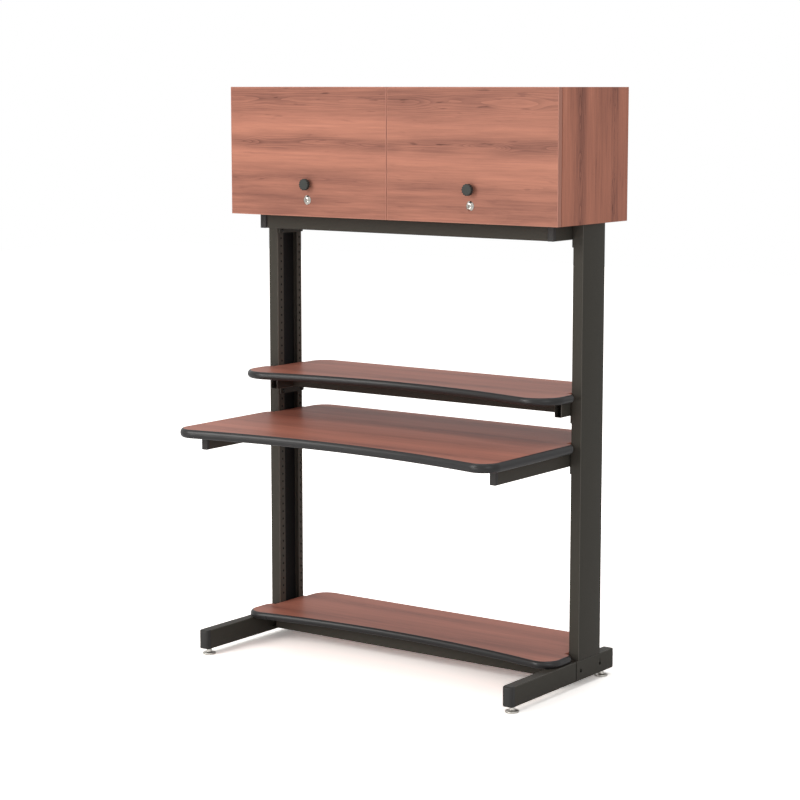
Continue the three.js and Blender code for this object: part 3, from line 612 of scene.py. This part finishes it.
def foot_cap(end, direction, length, nose, side_rounding, top_rounding):
    """Moulded cap: a plug in the tube, a fine joint line and a rounded nose."""
    def ring(side_inset, top_inset, radius, distance):
        return [(x, end - direction * distance, z) for x, z in foot_outline(side_inset, top_inset, radius)]

    plug, plug_length, seam = FOOT_WALL + GAP, 5.0, 0.5
    rings = [
        ring(plug, plug, TUBE_CORNER, length + plug_length), ring(plug, plug, TUBE_CORNER, length),
        ring(seam, seam, FOOT_CORNER - seam, length), ring(0, 0, FOOT_CORNER, length - seam),
    ]
    steps, corner_share = 12, 0.35
    for step in range(steps + 1):
        angle = Q * step / steps
        turn = 1 - math.cos(angle)
        radius = FOOT_CORNER + turn * min(side_rounding, top_rounding) * corner_share
        rings.append(ring(side_rounding * turn, top_rounding * turn, radius, nose * (1 - math.sin(angle))))
    return loft(rings)


def foot_bolts():
    """Bolt heads that hold the base to the shelf's bracket, seen through the keyholes."""
    profile = [(0, 2.7), (4.4, 2.7), (4.6, 3.3), (4.6, 7.9), (4.2, 8.5), (2.4, 8.5), (2.4, 5.9), (0, 5.9)]
    return merge(*[lathe(profile, (POST_IN, y, BOLT_HEIGHT), "x", 24) for y, _ in BOLTS])


def across_foot(outline):
    """A tool that cuts an outline through both sides of a foot."""
    return prism(outline, POST_IN - OVERRUN, POST_OUT + OVERRUN, "x")


def keyholes():
    tools = []
    for y, rise in BOLTS:
        tools.append(across_foot(circle(y, BOLT_HEIGHT, BOLT_HOLE, 32)))
        tools.append(across_foot(rect(y - KEY_SLOT / 2, y + KEY_SLOT / 2, BOLT_HEIGHT, BOLT_HEIGHT + rise)))
    return tools


def is_in_tube(centre, normal):
    """Faces within a foot's tube, seen through its holes and its joint, painted near-black as shade."""
    x, _, z = centre
    side_margin, top_margin = 0.5, 1.0
    inside = abs(x - POST_MIDDLE) < POST_WIDTH / 2 - side_margin
    inside = inside and FOOT_LOW + top_margin < z < FOOT_TOP - top_margin
    return inside and abs(normal.y) < 0.9


def leveller(y):
    """Levelling foot: disc, hub and threaded stem."""
    profile = [
        (0, 0), (19.4, 0), (20.6, 0.5), (21, 1.4), (21, 4.4), (20.6, 5.4), (19.6, 5.9), (17.5, 6.0),
        (11.6, 6.2), (9.4, 7.0), (8.3, 8.6), (8.0, 10.0), (8.0, 15.2), (7.4, 16.0), (4.9, 16.0),
    ]
    hub_top, pitch, turns, root, crest = 16.0, 1.1, 10, 4.3, 4.8
    for turn in range(turns):
        z = hub_top + pitch * turn
        profile += [(root, z + 0.4), (crest, z + 0.75), (root, z + pitch)]
    profile += [(crest, 30), (crest, 55), (4.2, 56), (0, 56)]
    return lathe(profile, (POST_MIDDLE, y, 0), "z", 48)


def foot_tube(start, end, glide):
    """Tube of a foot with the bore for a levelling foot's stem."""
    tube = prism(foot_outline(), start, end, "y", [foot_outline(FOOT_WALL, radius=TUBE_CORNER)])
    bore = prism(circle(POST_MIDDLE, glide, GLIDE_BORE, 32), FOOT_LOW - OVERRUN, FOOT_LOW + OVERRUN)
    return tube, bore


def joint_sleeve(end):
    """Inner sleeve that joins a foot's arm to its base, and a wall behind the joint that the feet paint
    near-black as shade.
    """
    play, wall_play, overlap, wall_depth, recess = FOOT_WALL + GAP, 0.05, 2.0, 4.0, 0.1
    hollow = foot_outline(play + FOOT_WALL, radius=TUBE_CORNER)
    sleeve = prism(foot_outline(play, radius=TUBE_CORNER), end - overlap, SLEEVE_LENGTH, "y", [hollow])
    sleeve = combined(sleeve, [across_foot(circle(FRONT_BOLT, BOLT_HEIGHT, BOLT_HOLE, 32))])
    wall_outline = foot_outline(FOOT_WALL + wall_play, radius=TUBE_CORNER)
    return merge(sleeve, prism(wall_outline, end - wall_depth, end - recess, "y"))


def feet(side, flip):
    coats = ((steel_edge_highlight, is_round), (steel_painted_shade, is_in_tube))
    tube, bore = foot_tube(-FOOT_JOINT, FOOT_BACK - REAR_CAP - GAP, REAR_GLIDE)
    make(f"base_{side}", combined(tube, keyholes() + [bore]), steel, nodes=[f"foot_base_{side}"],
         bevel=0.35, mirror=flip, paint=coats)
    end = -FOOT_JOINT - JOINT_GAP
    tube, bore = foot_tube(FOOT_FRONT + FRONT_CAP + GAP, end, FRONT_GLIDE)
    make(f"arm_{side}", merge(combined(tube, [bore]), joint_sleeve(end)), steel,
         nodes=[f"foot_arm_{side}"], bevel=0.35, mirror=flip, paint=coats)
    front_cap = foot_cap(FOOT_FRONT, -1, FRONT_CAP, nose=12, side_rounding=12, top_rounding=6)
    make(f"cap_front_{side}", front_cap, cap_plastic, nodes=[f"foot_cap_front_{side}"],
         mirror=flip)
    rear_cap = foot_cap(FOOT_BACK, 1, REAR_CAP, nose=4, side_rounding=4, top_rounding=4)
    make(f"cap_rear_{side}", rear_cap, cap_plastic, nodes=[f"foot_cap_rear_{side}"],
         mirror=flip)
    # The bolt heads are painted near-black as shade, so the keyholes look dark.
    make(f"foot_bolts_{side}", foot_bolts(), steel_painted_shade, mirror=flip)
    for end_name, y in (("front", FRONT_GLIDE), ("rear", REAR_GLIDE)):
        node = f"glide_{end_name}_{side}"
        make(f"leveller_{end_name}_{side}", leveller(y), nickel, body=node, nodes=[node],
             angle=40, mirror=flip)


def arm_plan(reach, back, nose, front):
    """Plan of an arm, its front corners rounded, from a front line to its back."""
    left, right = ARM_MIDDLE - ARM_WIDTH / 2, ARM_MIDDLE + ARM_WIDTH / 2
    if front > nose - reach:
        return rect(left, right, front, back)
    corners = arc(left + nose, nose - reach, nose, 2 * Q, 3 * Q, 8)
    corners += arc(right - nose, nose - reach, nose, -Q, 0, 8)
    return corners + [(right, back), (left, back)]


def arm_section(top, inset=0.0, radius=ARM_CORNER):
    width, height = ARM_WIDTH - 2 * inset, ARM_HEIGHT - 2 * inset
    return rounded(ARM_MIDDLE, top - ARM_HEIGHT / 2, width, height, radius, 5)


def slot_outline(y, z):
    upper = arc(y, z + SLOT_PLAY, HOLE_RADIUS, 0, 2 * Q, 10)
    return upper + arc(y, z - SLOT_PLAY, HOLE_RADIUS, 2 * Q, 4 * Q, 10)


def bracket(reach, back, top, drop, holes, nose, tube_front):
    """Tube with its welded mounting plate."""
    seam = 0.02
    tube = prism(arm_section(top), -reach, back, "y", [arm_section(top, ARM_WALL, ARM_INNER_CORNER)])
    plan = prism(arm_plan(reach, back, nose, tube_front), top - ARM_HEIGHT - OVERRUN, top + OVERRUN)
    tube = combined(tube, [plan], "INTERSECT")
    length, height = back - PLATE_FRONT, ARM_HEIGHT + drop
    outline = rounded(PLATE_FRONT + length / 2, top - height / 2, length, height, PLATE_CORNER, 4)
    return merge(tube, prism(outline, ARM_OUT + seam, ARM_OUT + PLATE, "x", holes))


def arm_cap(reach, top, nose, length):
    """Moulded end cap of an arm, its upright corners rounded."""
    section = prism(arm_section(top), -reach, length - reach, "y")
    plan = arm_plan(reach, length - reach, nose, -reach)
    return combined(section, [prism(plan, top - ARM_HEIGHT - OVERRUN, top + OVERRUN)], "INTERSECT")


def weld_bead(top, back):
    """Fillet weld where the tube's underside meets the plate."""
    rings = []
    start, step, margin, size, ripple, ripple_turn = 9.0, 2.2, 14.0, 2.2, 0.25, 1.9
    for turn in range(int((back - margin) / step) + 1):
        y, r = start + step * turn, size + ripple * math.sin(turn * ripple_turn)
        corner = [(0.6, 0.6), (-r, 0.2), (-r * 0.75, -r * 0.45), (-r * 0.35, -r * 0.8), (0.3, -r)]
        rings.append([(ARM_OUT + x, y, top - ARM_HEIGHT + z) for x, z in corner])
    return loft(rings)


def socket_bolt(x, y, z):
    """Button head with a hexagon socket, its head towards -X."""
    profile = [
        (0, 1.0), (6.0, 1.0), (6.0, -0.6), (5.4, -2.2), (3.7, -3.35), (2.5, -3.6), (2.2, -3.5),
        (2.2, -1.2), (0, -1.2),
    ]
    return lathe(profile, (x, y, z), "x", 24)


def bolted_height(wanted):
    """An arm's underside, moved to where its slots meet a row of holes."""
    row = round((wanted - BOLT_BELOW_ARM - BOLT_ROW) / PITCH)
    exact = BOLT_ROW + row * PITCH + BOLT_BELOW_ARM
    return exact + max(-SLOT_PLAY, min(SLOT_PLAY, wanted - exact))


def arm_top(name):
    if name == "cabinet":
        return POST_TOP - GAP
    if name == "lower_shelf":
        return FOOT_TOP
    height, thickness = SHELVES[name][:2]
    return bolted_height(height - thickness - GAP - ARM_HEIGHT) + ARM_HEIGHT


def post_arms(name, reach, side, flip, capped):
    top = arm_top(name)
    bolt_z = top - ARM_HEIGHT - BOLT_BELOW_ARM
    row = min(ROWS, key=lambda z: abs(z - bolt_z))
    holes = [slot_outline(y, bolt_z) for y in (FRONT_HOLE, REAR_HOLE)]
    front = ARM_CAP - reach + GAP if capped else -reach
    shape = bracket(reach, POST_DEPTH, top, PLATE_DROP, holes, ARM_NOSE if capped else ARM_EDGE, front)
    make(f"{name}_bracket_{side}", shape, steel, nodes=[f"{name}_arm_{side}"], bevel=0.4,
         mirror=flip, paint=((steel_edge_highlight, is_round),))
    if capped:
        make(f"{name}_arm_cap_{side}", arm_cap(reach, top, ARM_NOSE, ARM_CAP), cap_plastic,
             bevel=0.6, segments=3, mirror=flip)
    make(f"{name}_weld_{side}", weld_bead(top, POST_DEPTH), steel, angle=70, mirror=flip)
    bolts = merge(*[socket_bolt(ARM_OUT, y, row) for y in (FRONT_HOLE, REAR_HOLE)])
    make(f"{name}_bolts_{side}", bolts, bolt_steel, mirror=flip)


def cross_rail(name, front):
    half = ARM_IN - GAP
    top = arm_top(name)
    y, z = front + ARM_WIDTH / 2, top - ARM_HEIGHT / 2
    outer = rounded(y, z, ARM_WIDTH, ARM_HEIGHT, ARM_CORNER, 5)
    inner = rounded(y, z, ARM_WIDTH - 2 * ARM_WALL, ARM_HEIGHT - 2 * ARM_WALL, ARM_INNER_CORNER, 3)
    make(f"{name}_cross_rail", prism(outer, -half, half, "x", [inner]), steel, nodes=[f"{name}_rail"],
         bevel=0.4)


def both_halves(right, middle=False):
    left = [(-x, y) for x, y in (right[1:] if middle else right)][::-1]
    return left + right if middle else right + left


def front_edge(shelf, inset, end_x):
    """Plan of the front edge: an arch between two round corners, then an ear before each post."""
    _, _, reach_share, corner_share, sag_share, _ = SHELVES[shelf]
    reach = REACH * reach_share
    corner, sag = reach * corner_share, reach * sag_share
    corner_x = EDGE_SIDE - corner
    arch = (corner_x ** 2 + sag ** 2) / (2 * sag) - corner
    swing = math.atan2(corner_x, arch + corner - sag)
    right = arc(0, sag - reach - arch, arch + inset, Q, Q - swing, 48)
    right += arc(corner_x, corner - reach, corner - inset, -Q - swing, 0, 32)[1:]
    right += arc(EDGE_SIDE - EAR, -NOTCH_FRONT - EAR, EAR - inset, 0, Q, 20)
    return both_halves(right + [(end_x, -NOTCH_FRONT - inset)], True)


def rear_edge(inset, start):
    middle = BOARD_SIDE - REAR_CORNER
    corner = arc(middle, BACK - REAR_CORNER, REAR_CORNER - inset, 0, Q, 24)
    return both_halves([(BOARD_SIDE - inset, start)] + corner)


def shelf(name):
    thickness = SHELVES[name][1]
    low = arm_top(name) + GAP
    inset = EDGE_WIDTH + BOARD_SEAM
    notch = POST_DEPTH + NOTCH_BACK - GAP
    outline = front_edge(name, inset, BOARD_SIDE) + [(BOARD_SIDE, notch)]
    outline += rear_edge(inset, notch) + [(-BOARD_SIDE, notch)]
    make(f"{name}_top", prism(outline, low, low + thickness), shelf_wood, nodes=[f"{name}_board"],
         angle=25)
    section = [(EDGE_WIDTH * (1 - x), thickness / 2 * (1 + y)) for x, y in arc(0, 0, 1, -Q, Q, 18)]
    edges = {
        "front": lambda margin: front_edge(name, margin, BOARD_SIDE + GAP),
        "rear": lambda margin: rear_edge(margin, POST_DEPTH + NOTCH_BACK),
    }
    for part, edge in edges.items():
        lines = [edge(margin) for margin, _ in section]
        levels = [low + z for _, z in section]
        rings = [[(*point, z) for point, z in zip(row, levels)] for row in zip(*lines)]
        make(f"{name}_{part}_bullnose", loft(rings), edging, nodes=[f"{name}_{part}_edging"],
             angle=50)


def cabinet():
    low, high = POST_TOP + PANEL, HEIGHT - PANEL
    top_section = [(CARCASS, high), (BACK, high), (BACK, HEIGHT), (CARCASS + DOOR_REBATE, HEIGHT),
                   (CARCASS + DOOR_REBATE, HINGE_LOW), (CARCASS, HINGE_LOW)]
    side, divider_back = INNER - GAP, BACK - BACK_PANEL - GAP
    divider = block(-PANEL / 2, PANEL / 2, CARCASS, divider_back, low + GAP, high - GAP)
    panels = {
        "cabinet_bottom": (block(-side, side, CARCASS, BACK, POST_TOP, low), flat_wood),
        "cabinet_top": (prism(top_section, -side, side, "x"), flat_wood),
        "cabinet_back": (block(-side, side, BACK - BACK_PANEL, BACK, low + GAP, high - GAP), back_wood),
        "cabinet_divider": (divider, side_wood),
        "cabinet_side_right": (block(INNER, WIDTH / 2, CARCASS, BACK, POST_TOP, HEIGHT), side_wood),
        "cabinet_side_left": (block(-WIDTH / 2, -INNER, CARCASS, BACK, POST_TOP, HEIGHT), side_wood),
    }
    for name, (shape, material) in panels.items():
        make(f"{name}_panel", shape, material, nodes=[name], bevel=0.6, segments=3)


def door(side, flip):
    """Laminated panel with an edge banding all round."""
    body = f"door_{side}"
    x0, x1, z0, z1 = DOOR_SEAM / 2, WIDTH / 2, POST_TOP, HEIGHT
    rebate = block(x0 - OVERRUN, x1 + OVERRUN, DOOR_BACK - DOOR_REBATE, DOOR_BACK + OVERRUN, HINGE_LOW,
                   HEIGHT + OVERRUN)
    inside = rect(x0 + BAND, x1 - BAND, z0 + BAND, z1 - BAND)
    holes = [circle(DOOR_MIDDLE, LOCK_Z, LOCK_HOLE, 32), circle(DOOR_MIDDLE, KNOB_Z, SCREW_HOLE, 20)]
    panel = combined(prism(inside, DOOR_FRONT, DOOR_BACK, "y", holes), [rebate])
    make(f"{body}_panel", panel, door_wood, body=body, nodes=[body], bevel=0.25,
         mirror=flip)
    frame_shape = prism(rect(x0, x1, z0, z1), DOOR_FRONT, DOOR_BACK, "y", [inside])
    make(f"{body}_edge_band", combined(frame_shape, [rebate]), banding, body=body,
         bevel=0.9, segments=4, mirror=flip)


def hinge(side, flip):
    """Piano hinge, knuckle by knuckle, with its screws and pin."""
    margin, count, play, screw_margin, screws_across = 14.0, 45, 0.15, 25.0, 7
    leaf_near, leaf_far, pin_radius, curl = 0.3, 1.3, 1.2, 1.4
    tab_drop, tab_rise, screw_drop = 0.5, 1.1, 7.0
    x0, x1 = margin, INNER - margin
    pitch = (x1 - x0) / count
    for kind, sign, first in (("door", -1, 1), ("cabinet", 1, 0)):
        near, far = HINGE_Y + sign * leaf_near, HINGE_Y + sign * leaf_far
        faces = sorted((near, far))
        parts = [block(x0, x1, *faces, HINGE_LOW - LEAF_HEIGHT, HINGE_LOW)]
        for knuckle in range(first, count, 2):
            a, b = x0 + knuckle * pitch + play, x0 + (knuckle + 1) * pitch - play
            profile = [(curl, a), (KNUCKLE, a), (KNUCKLE, b), (curl, b), (curl, a)]
            parts += [lathe(profile, (0, HINGE_Y, HINGE_Z), "x", 20),
                      block(a, b, *faces, HINGE_LOW - tab_drop, HINGE_LOW + tab_rise)]
        body = f"door_{side}" if kind == "door" else "frame"
        make(f"piano_leaf_{kind}_{side}", merge(*parts), zinc, body=body,
             nodes=[f"hinge_leaf_{kind}_{side}"], mirror=flip)
        head = [(0, 0.3), (2.6, 0.3), (2.6, 0), (2.1, -0.12), (0, -0.12)]
        profile = [(radius, sign * distance) for radius, distance in head]
        span = x1 - x0 - 2 * screw_margin
        places = [x0 + screw_margin + span * k / (screws_across - 1) for k in range(screws_across)]
        screws = merge(*[lathe(profile, (x, near, HINGE_LOW - screw_drop), "y", 16) for x in places])
        make(f"piano_screws_{kind}_{side}", screws, zinc, body=body, mirror=flip)
    pin_profile = [(0, x0), (pin_radius, x0), (pin_radius, x1), (0, x1)]
    pin = lathe(pin_profile, (0, HINGE_Y, HINGE_Z), "x", 16)
    make(f"piano_pin_{side}", pin, zinc, mirror=flip)


def knob(side, x):
    """Round knob with a fluted rim, on a neck."""
    face, flutes, flute_sharpness, count = DOOR_FRONT - GAP, 14, 6, 140

    def ring(radius, flute, distance):
        points = []
        for i in range(count):
            angle = 2 * math.pi * i / count
            r = radius - flute * abs(math.sin(flutes / 2 * angle)) ** flute_sharpness
            points.append((x + r * math.cos(angle), face - distance, KNOB_Z + r * math.sin(angle)))
        return points

    profile = [
        (8, 0, 0), (8, 0, 7), (15.4, 0.8, 7), (17.2, 2.2, 7.5), (18.0, 2.7, 8.6), (18.3, 2.9, 10),
        (18.3, 2.9, 17.8), (18.1, 2.8, 19.0), (17.4, 2.3, 19.7), (16.6, 1.7, 19.95), (12.5, 0, 20.0),
    ]
    body = f"door_{side}"
    make(f"{body}_knob", loft([ring(*row) for row in profile]), knob_plastic, body=body,
         nodes=[f"door_knob_{side}"], angle=28)
    head = [(0, 0), (4.4, 0), (4.4, 0.9), (3.6, 2.3), (1.6, 2.9), (0, 2.9)]
    screw = lathe(head, (x, DOOR_BACK, KNOB_Z), "y", 24)
    make(f"{body}_knob_screw", screw, zinc, body=body, angle=35)


def strike(side, x):
    """Bent strike on the cabinet's bottom, which the cam turns in behind, with its two screws."""
    front, low = BARREL_END - 2, POST_TOP + PANEL + GAP
    thickness, width, foot, height, screw_place, screw_gap = 2.0, 24.0, 28.0, 16.0, 17.0, 12.0
    outline = [
        (front, low), (front + foot, low), (front + foot, low + thickness),
        (front + thickness, low + thickness), (front + thickness, low + height), (front, low + height),
    ]
    make(f"strike_{side}", prism(outline, x - width / 2, x + width / 2, "x"), zinc,
         nodes=[f"lock_strike_{side}"], bevel=0.3)
    head = [(0, 0), (3.4, 0), (3.0, 1.1), (1.6, 1.7), (0, 1.7)]
    seats = [(x + sign * screw_gap / 2, front + screw_place, low + thickness) for sign in (-1, 1)]
    screws = merge(*[lathe(head, seat, "z", 20) for seat in seats])
    make(f"strike_screws_{side}", screws, zinc, angle=35)


def lock(side, x):
    """Cam lock: cone with its barrel, nut, and plug with keyway and cam."""
    body = f"door_{side}"
    face = DOOR_FRONT - GAP
    end = BARREL_END - face
    nose, bore, plug_radius, barrel = 6.0, 5.8, 5.5, 9.5
    profile = [
        (bore, 0.4 - nose), (6.0, -nose), (8.2, -nose), (8.7, -5.75), (14.3, -1.3), (14.9, -0.8),
        (15.0, -0.3), (14.7, 0), (barrel, 0), (barrel, end), (bore, end), (bore, 0.4 - nose),
    ]
    make(f"{body}_lock", lathe(profile, (x, face, LOCK_Z), "y", 64), chrome, body=body,
         nodes=[f"lock_body_{side}"], angle=35)
    nut_play, nut_thickness, nut_radius = 0.2, 4.4, 13.2
    nut_face, nut_bore = DOOR_BACK + nut_play, circle(x, LOCK_Z, barrel + 0.1, 32)
    nut = prism(circle(x, LOCK_Z, nut_radius, 6), nut_face, nut_face + nut_thickness, "y", [nut_bore])
    make(f"{body}_lock_nut", nut, zinc, body=body, bevel=0.3)
    key_width, key_height, neck_radius, neck_length = 2.0, 7.0, 4.0, 2.2
    plug = prism(circle(x, LOCK_Z, plug_radius, 40), face - nose, BARREL_END, "y")
    keyway = block(x - key_width / 2, x + key_width / 2, face - nose - 2, face,
                   LOCK_Z - key_height / 2, LOCK_Z + key_height / 2)
    neck = prism(circle(x, LOCK_Z, neck_radius, 24), BARREL_END - 0.5, BARREL_END + neck_length, "y")
    cam_length, cam_width, cam_corner, cam_thickness = 36.0, 12.0, 4.0, 2.0
    outline = rounded(x + (cam_length - cam_width) / 2, LOCK_Z, cam_length, cam_width, cam_corner)
    cam = prism(outline, BARREL_END + GAP, BARREL_END + GAP + cam_thickness, "y")
    make(f"{body}_lock_plug", merge(combined(plug, [keyway]), neck, cam), chrome, body=f"lock_{side}",
         nodes=[f"lock_plug_{side}"], bevel=0.25)


for side, flip in (("left", True), ("right", False)):
    uprights(side, flip)
    feet(side, flip)
    post_arms("work_surface", REACH * SHELVES["work_surface"][5], side, flip, True)
    post_arms("upper_shelf", REACH * SHELVES["upper_shelf"][5], side, flip, False)
    post_arms("cabinet", CABINET_ARM, side, flip, True)
    reach = REACH * SHELVES["lower_shelf"][5]
    low_bracket = bracket(reach, LOW_PLATE_BACK, FOOT_TOP, 0, [], ARM_EDGE, -reach)
    make(f"lower_shelf_bracket_{side}", low_bracket, steel, nodes=[f"lower_shelf_arm_{side}"],
         bevel=0.4, mirror=flip)
    door(side, flip)
    hinge(side, flip)
    x = -DOOR_MIDDLE if flip else DOOR_MIDDLE
    knob(side, x)
    lock(side, x)
    strike(side, x)
for name in SHELVES:
    shelf(name)
cross_rail("work_surface", RAIL_SETBACK)
cross_rail("upper_shelf", RAIL_SETBACK)
cross_rail("lower_shelf", -REACH * SHELVES["lower_shelf"][5])
cross_rail("cabinet", CABINET_RAIL_SETBACK - CABINET_ARM)
cabinet()


# Floor, light, background and camera

FLOOR_GLOW = 0.15
FLOOR_COLOR = (0.86, 0.86, 0.86, 1)
FLOOR_SHOWN = (2.08, 2.02, 1.96, 1)
GLOW_COLOR = (1, 0.985, 0.965, 1)
FADE_START, FADE_LENGTH, FADE_GLOW = 1.2, 2.0, 0.4
WORLD_LIGHT = 0.4
WORLD_REFLECTED = 0.7


def floor_material():
    """White floor that shows the object's shadow and fades into the white background."""
    mat, tree, bsdf = nodes_of("floor_white")
    bsdf.inputs["Roughness"].default_value = 0.9
    bsdf.inputs["Specular IOR Level"].default_value = 0.0
    shown = tree.nodes.new("ShaderNodeLightPath").outputs["Is Camera Ray"]
    mix = tree.nodes.new("ShaderNodeMix")
    mix.data_type = "RGBA"
    mix.inputs["A"].default_value = FLOOR_COLOR
    mix.inputs["B"].default_value = FLOOR_SHOWN
    tree.links.new(shown, mix.inputs["Factor"])
    tree.links.new(mix.outputs["Result"], bsdf.inputs["Base Color"])
    coord = tree.nodes.new("ShaderNodeTexCoord").outputs["Object"]
    length = tree.nodes.new("ShaderNodeVectorMath")
    length.operation = "LENGTH"
    tree.links.new(coord, length.inputs[0])
    past = calc(tree, "SUBTRACT", length.outputs["Value"], FADE_START)
    far = calc(tree, "DIVIDE", past, FADE_LENGTH, clamp=True)
    glow = calc(tree, "MULTIPLY", shown, calc(tree, "MULTIPLY_ADD", far, FADE_GLOW, FLOOR_GLOW))
    bsdf.inputs["Emission Color"].default_value = GLOW_COLOR
    tree.links.new(glow, bsdf.inputs["Emission Strength"])
    return mat


SPAN = 14.0
floor_mesh = bpy.data.meshes.new("floor")
floor_mesh.from_pydata([(x, y, 0) for x, y in rect(-SPAN, SPAN, -SPAN, SPAN)], [], [(0, 1, 2, 3)])
floor_mesh.materials.append(floor_material())
linked("floor", floor_mesh)


def area(name, location, target, width, height, power, color):
    """A rectangular light in metres and watts that faces a target."""
    data = bpy.data.lights.new(name, "AREA")
    data.energy = power
    data.color = color
    data.shape = "RECTANGLE"
    data.size = width
    data.size_y = height
    obj = linked(name, data)
    obj.location = location
    obj.rotation_euler = (Vector(target) - Vector(location)).to_track_quat("-Z", "Y").to_euler()


WARM, COOL = (1.0, 0.985, 0.96), (0.97, 0.985, 1.0)
MIDDLE = (0, 0, 0.9)
area("key", (-2.7, -5.6, 3.4), MIDDLE, 3.0, 3.0, 176, WARM)
area("fill", (11.0, -6.0, 4.3), MIDDLE, 6.0, 6.0, 202, COOL)
area("low", (-0.9, -4.4, 0.5), (0, -0.1, 0.2), 2.6, 0.8, 26, WARM)
area("top", (0, 0.4, 5.2), (0, 0, 0), 4.0, 4.0, 92, COOL)


def background():
    """White to the camera, paler in reflections and softer as a light."""
    world = bpy.data.worlds.new("studio")
    bpy.context.scene.world = world
    world.use_nodes = True
    tree = world.node_tree
    tree.nodes.clear()
    shader = tree.nodes.new("ShaderNodeBackground")
    shader.inputs["Color"].default_value = (1, 1, 1, 1)
    path = tree.nodes.new("ShaderNodeLightPath")
    added = WORLD_REFLECTED - WORLD_LIGHT
    glossy = calc(tree, "MULTIPLY_ADD", path.outputs["Is Glossy Ray"], added, WORLD_LIGHT)
    strength = calc(tree, "MAXIMUM", path.outputs["Is Camera Ray"], glossy)
    tree.links.new(strength, shader.inputs["Strength"])
    out = tree.nodes.new("ShaderNodeOutputWorld")
    tree.links.new(shader.outputs[0], out.inputs["Surface"])


background()

CAMERA_LENS, CAMERA_SENSOR, CAMERA_END = 100.53, 36.0, 60.0
CAMERA_PLACE = (4.0628, -5.5856, 1.8303)
CAMERA_TILT, CAMERA_TURN = 81.97, 35.87
camera_data = bpy.data.cameras.new("camera")
camera_data.lens = CAMERA_LENS
camera_data.sensor_width = CAMERA_SENSOR
camera_data.clip_end = CAMERA_END
camera = linked("camera", camera_data)
camera.location = CAMERA_PLACE
camera.rotation_euler = (math.radians(CAMERA_TILT), 0, math.radians(CAMERA_TURN))
bpy.context.scene.camera = camera
bpy.context.scene.view_settings.view_transform = "Standard"
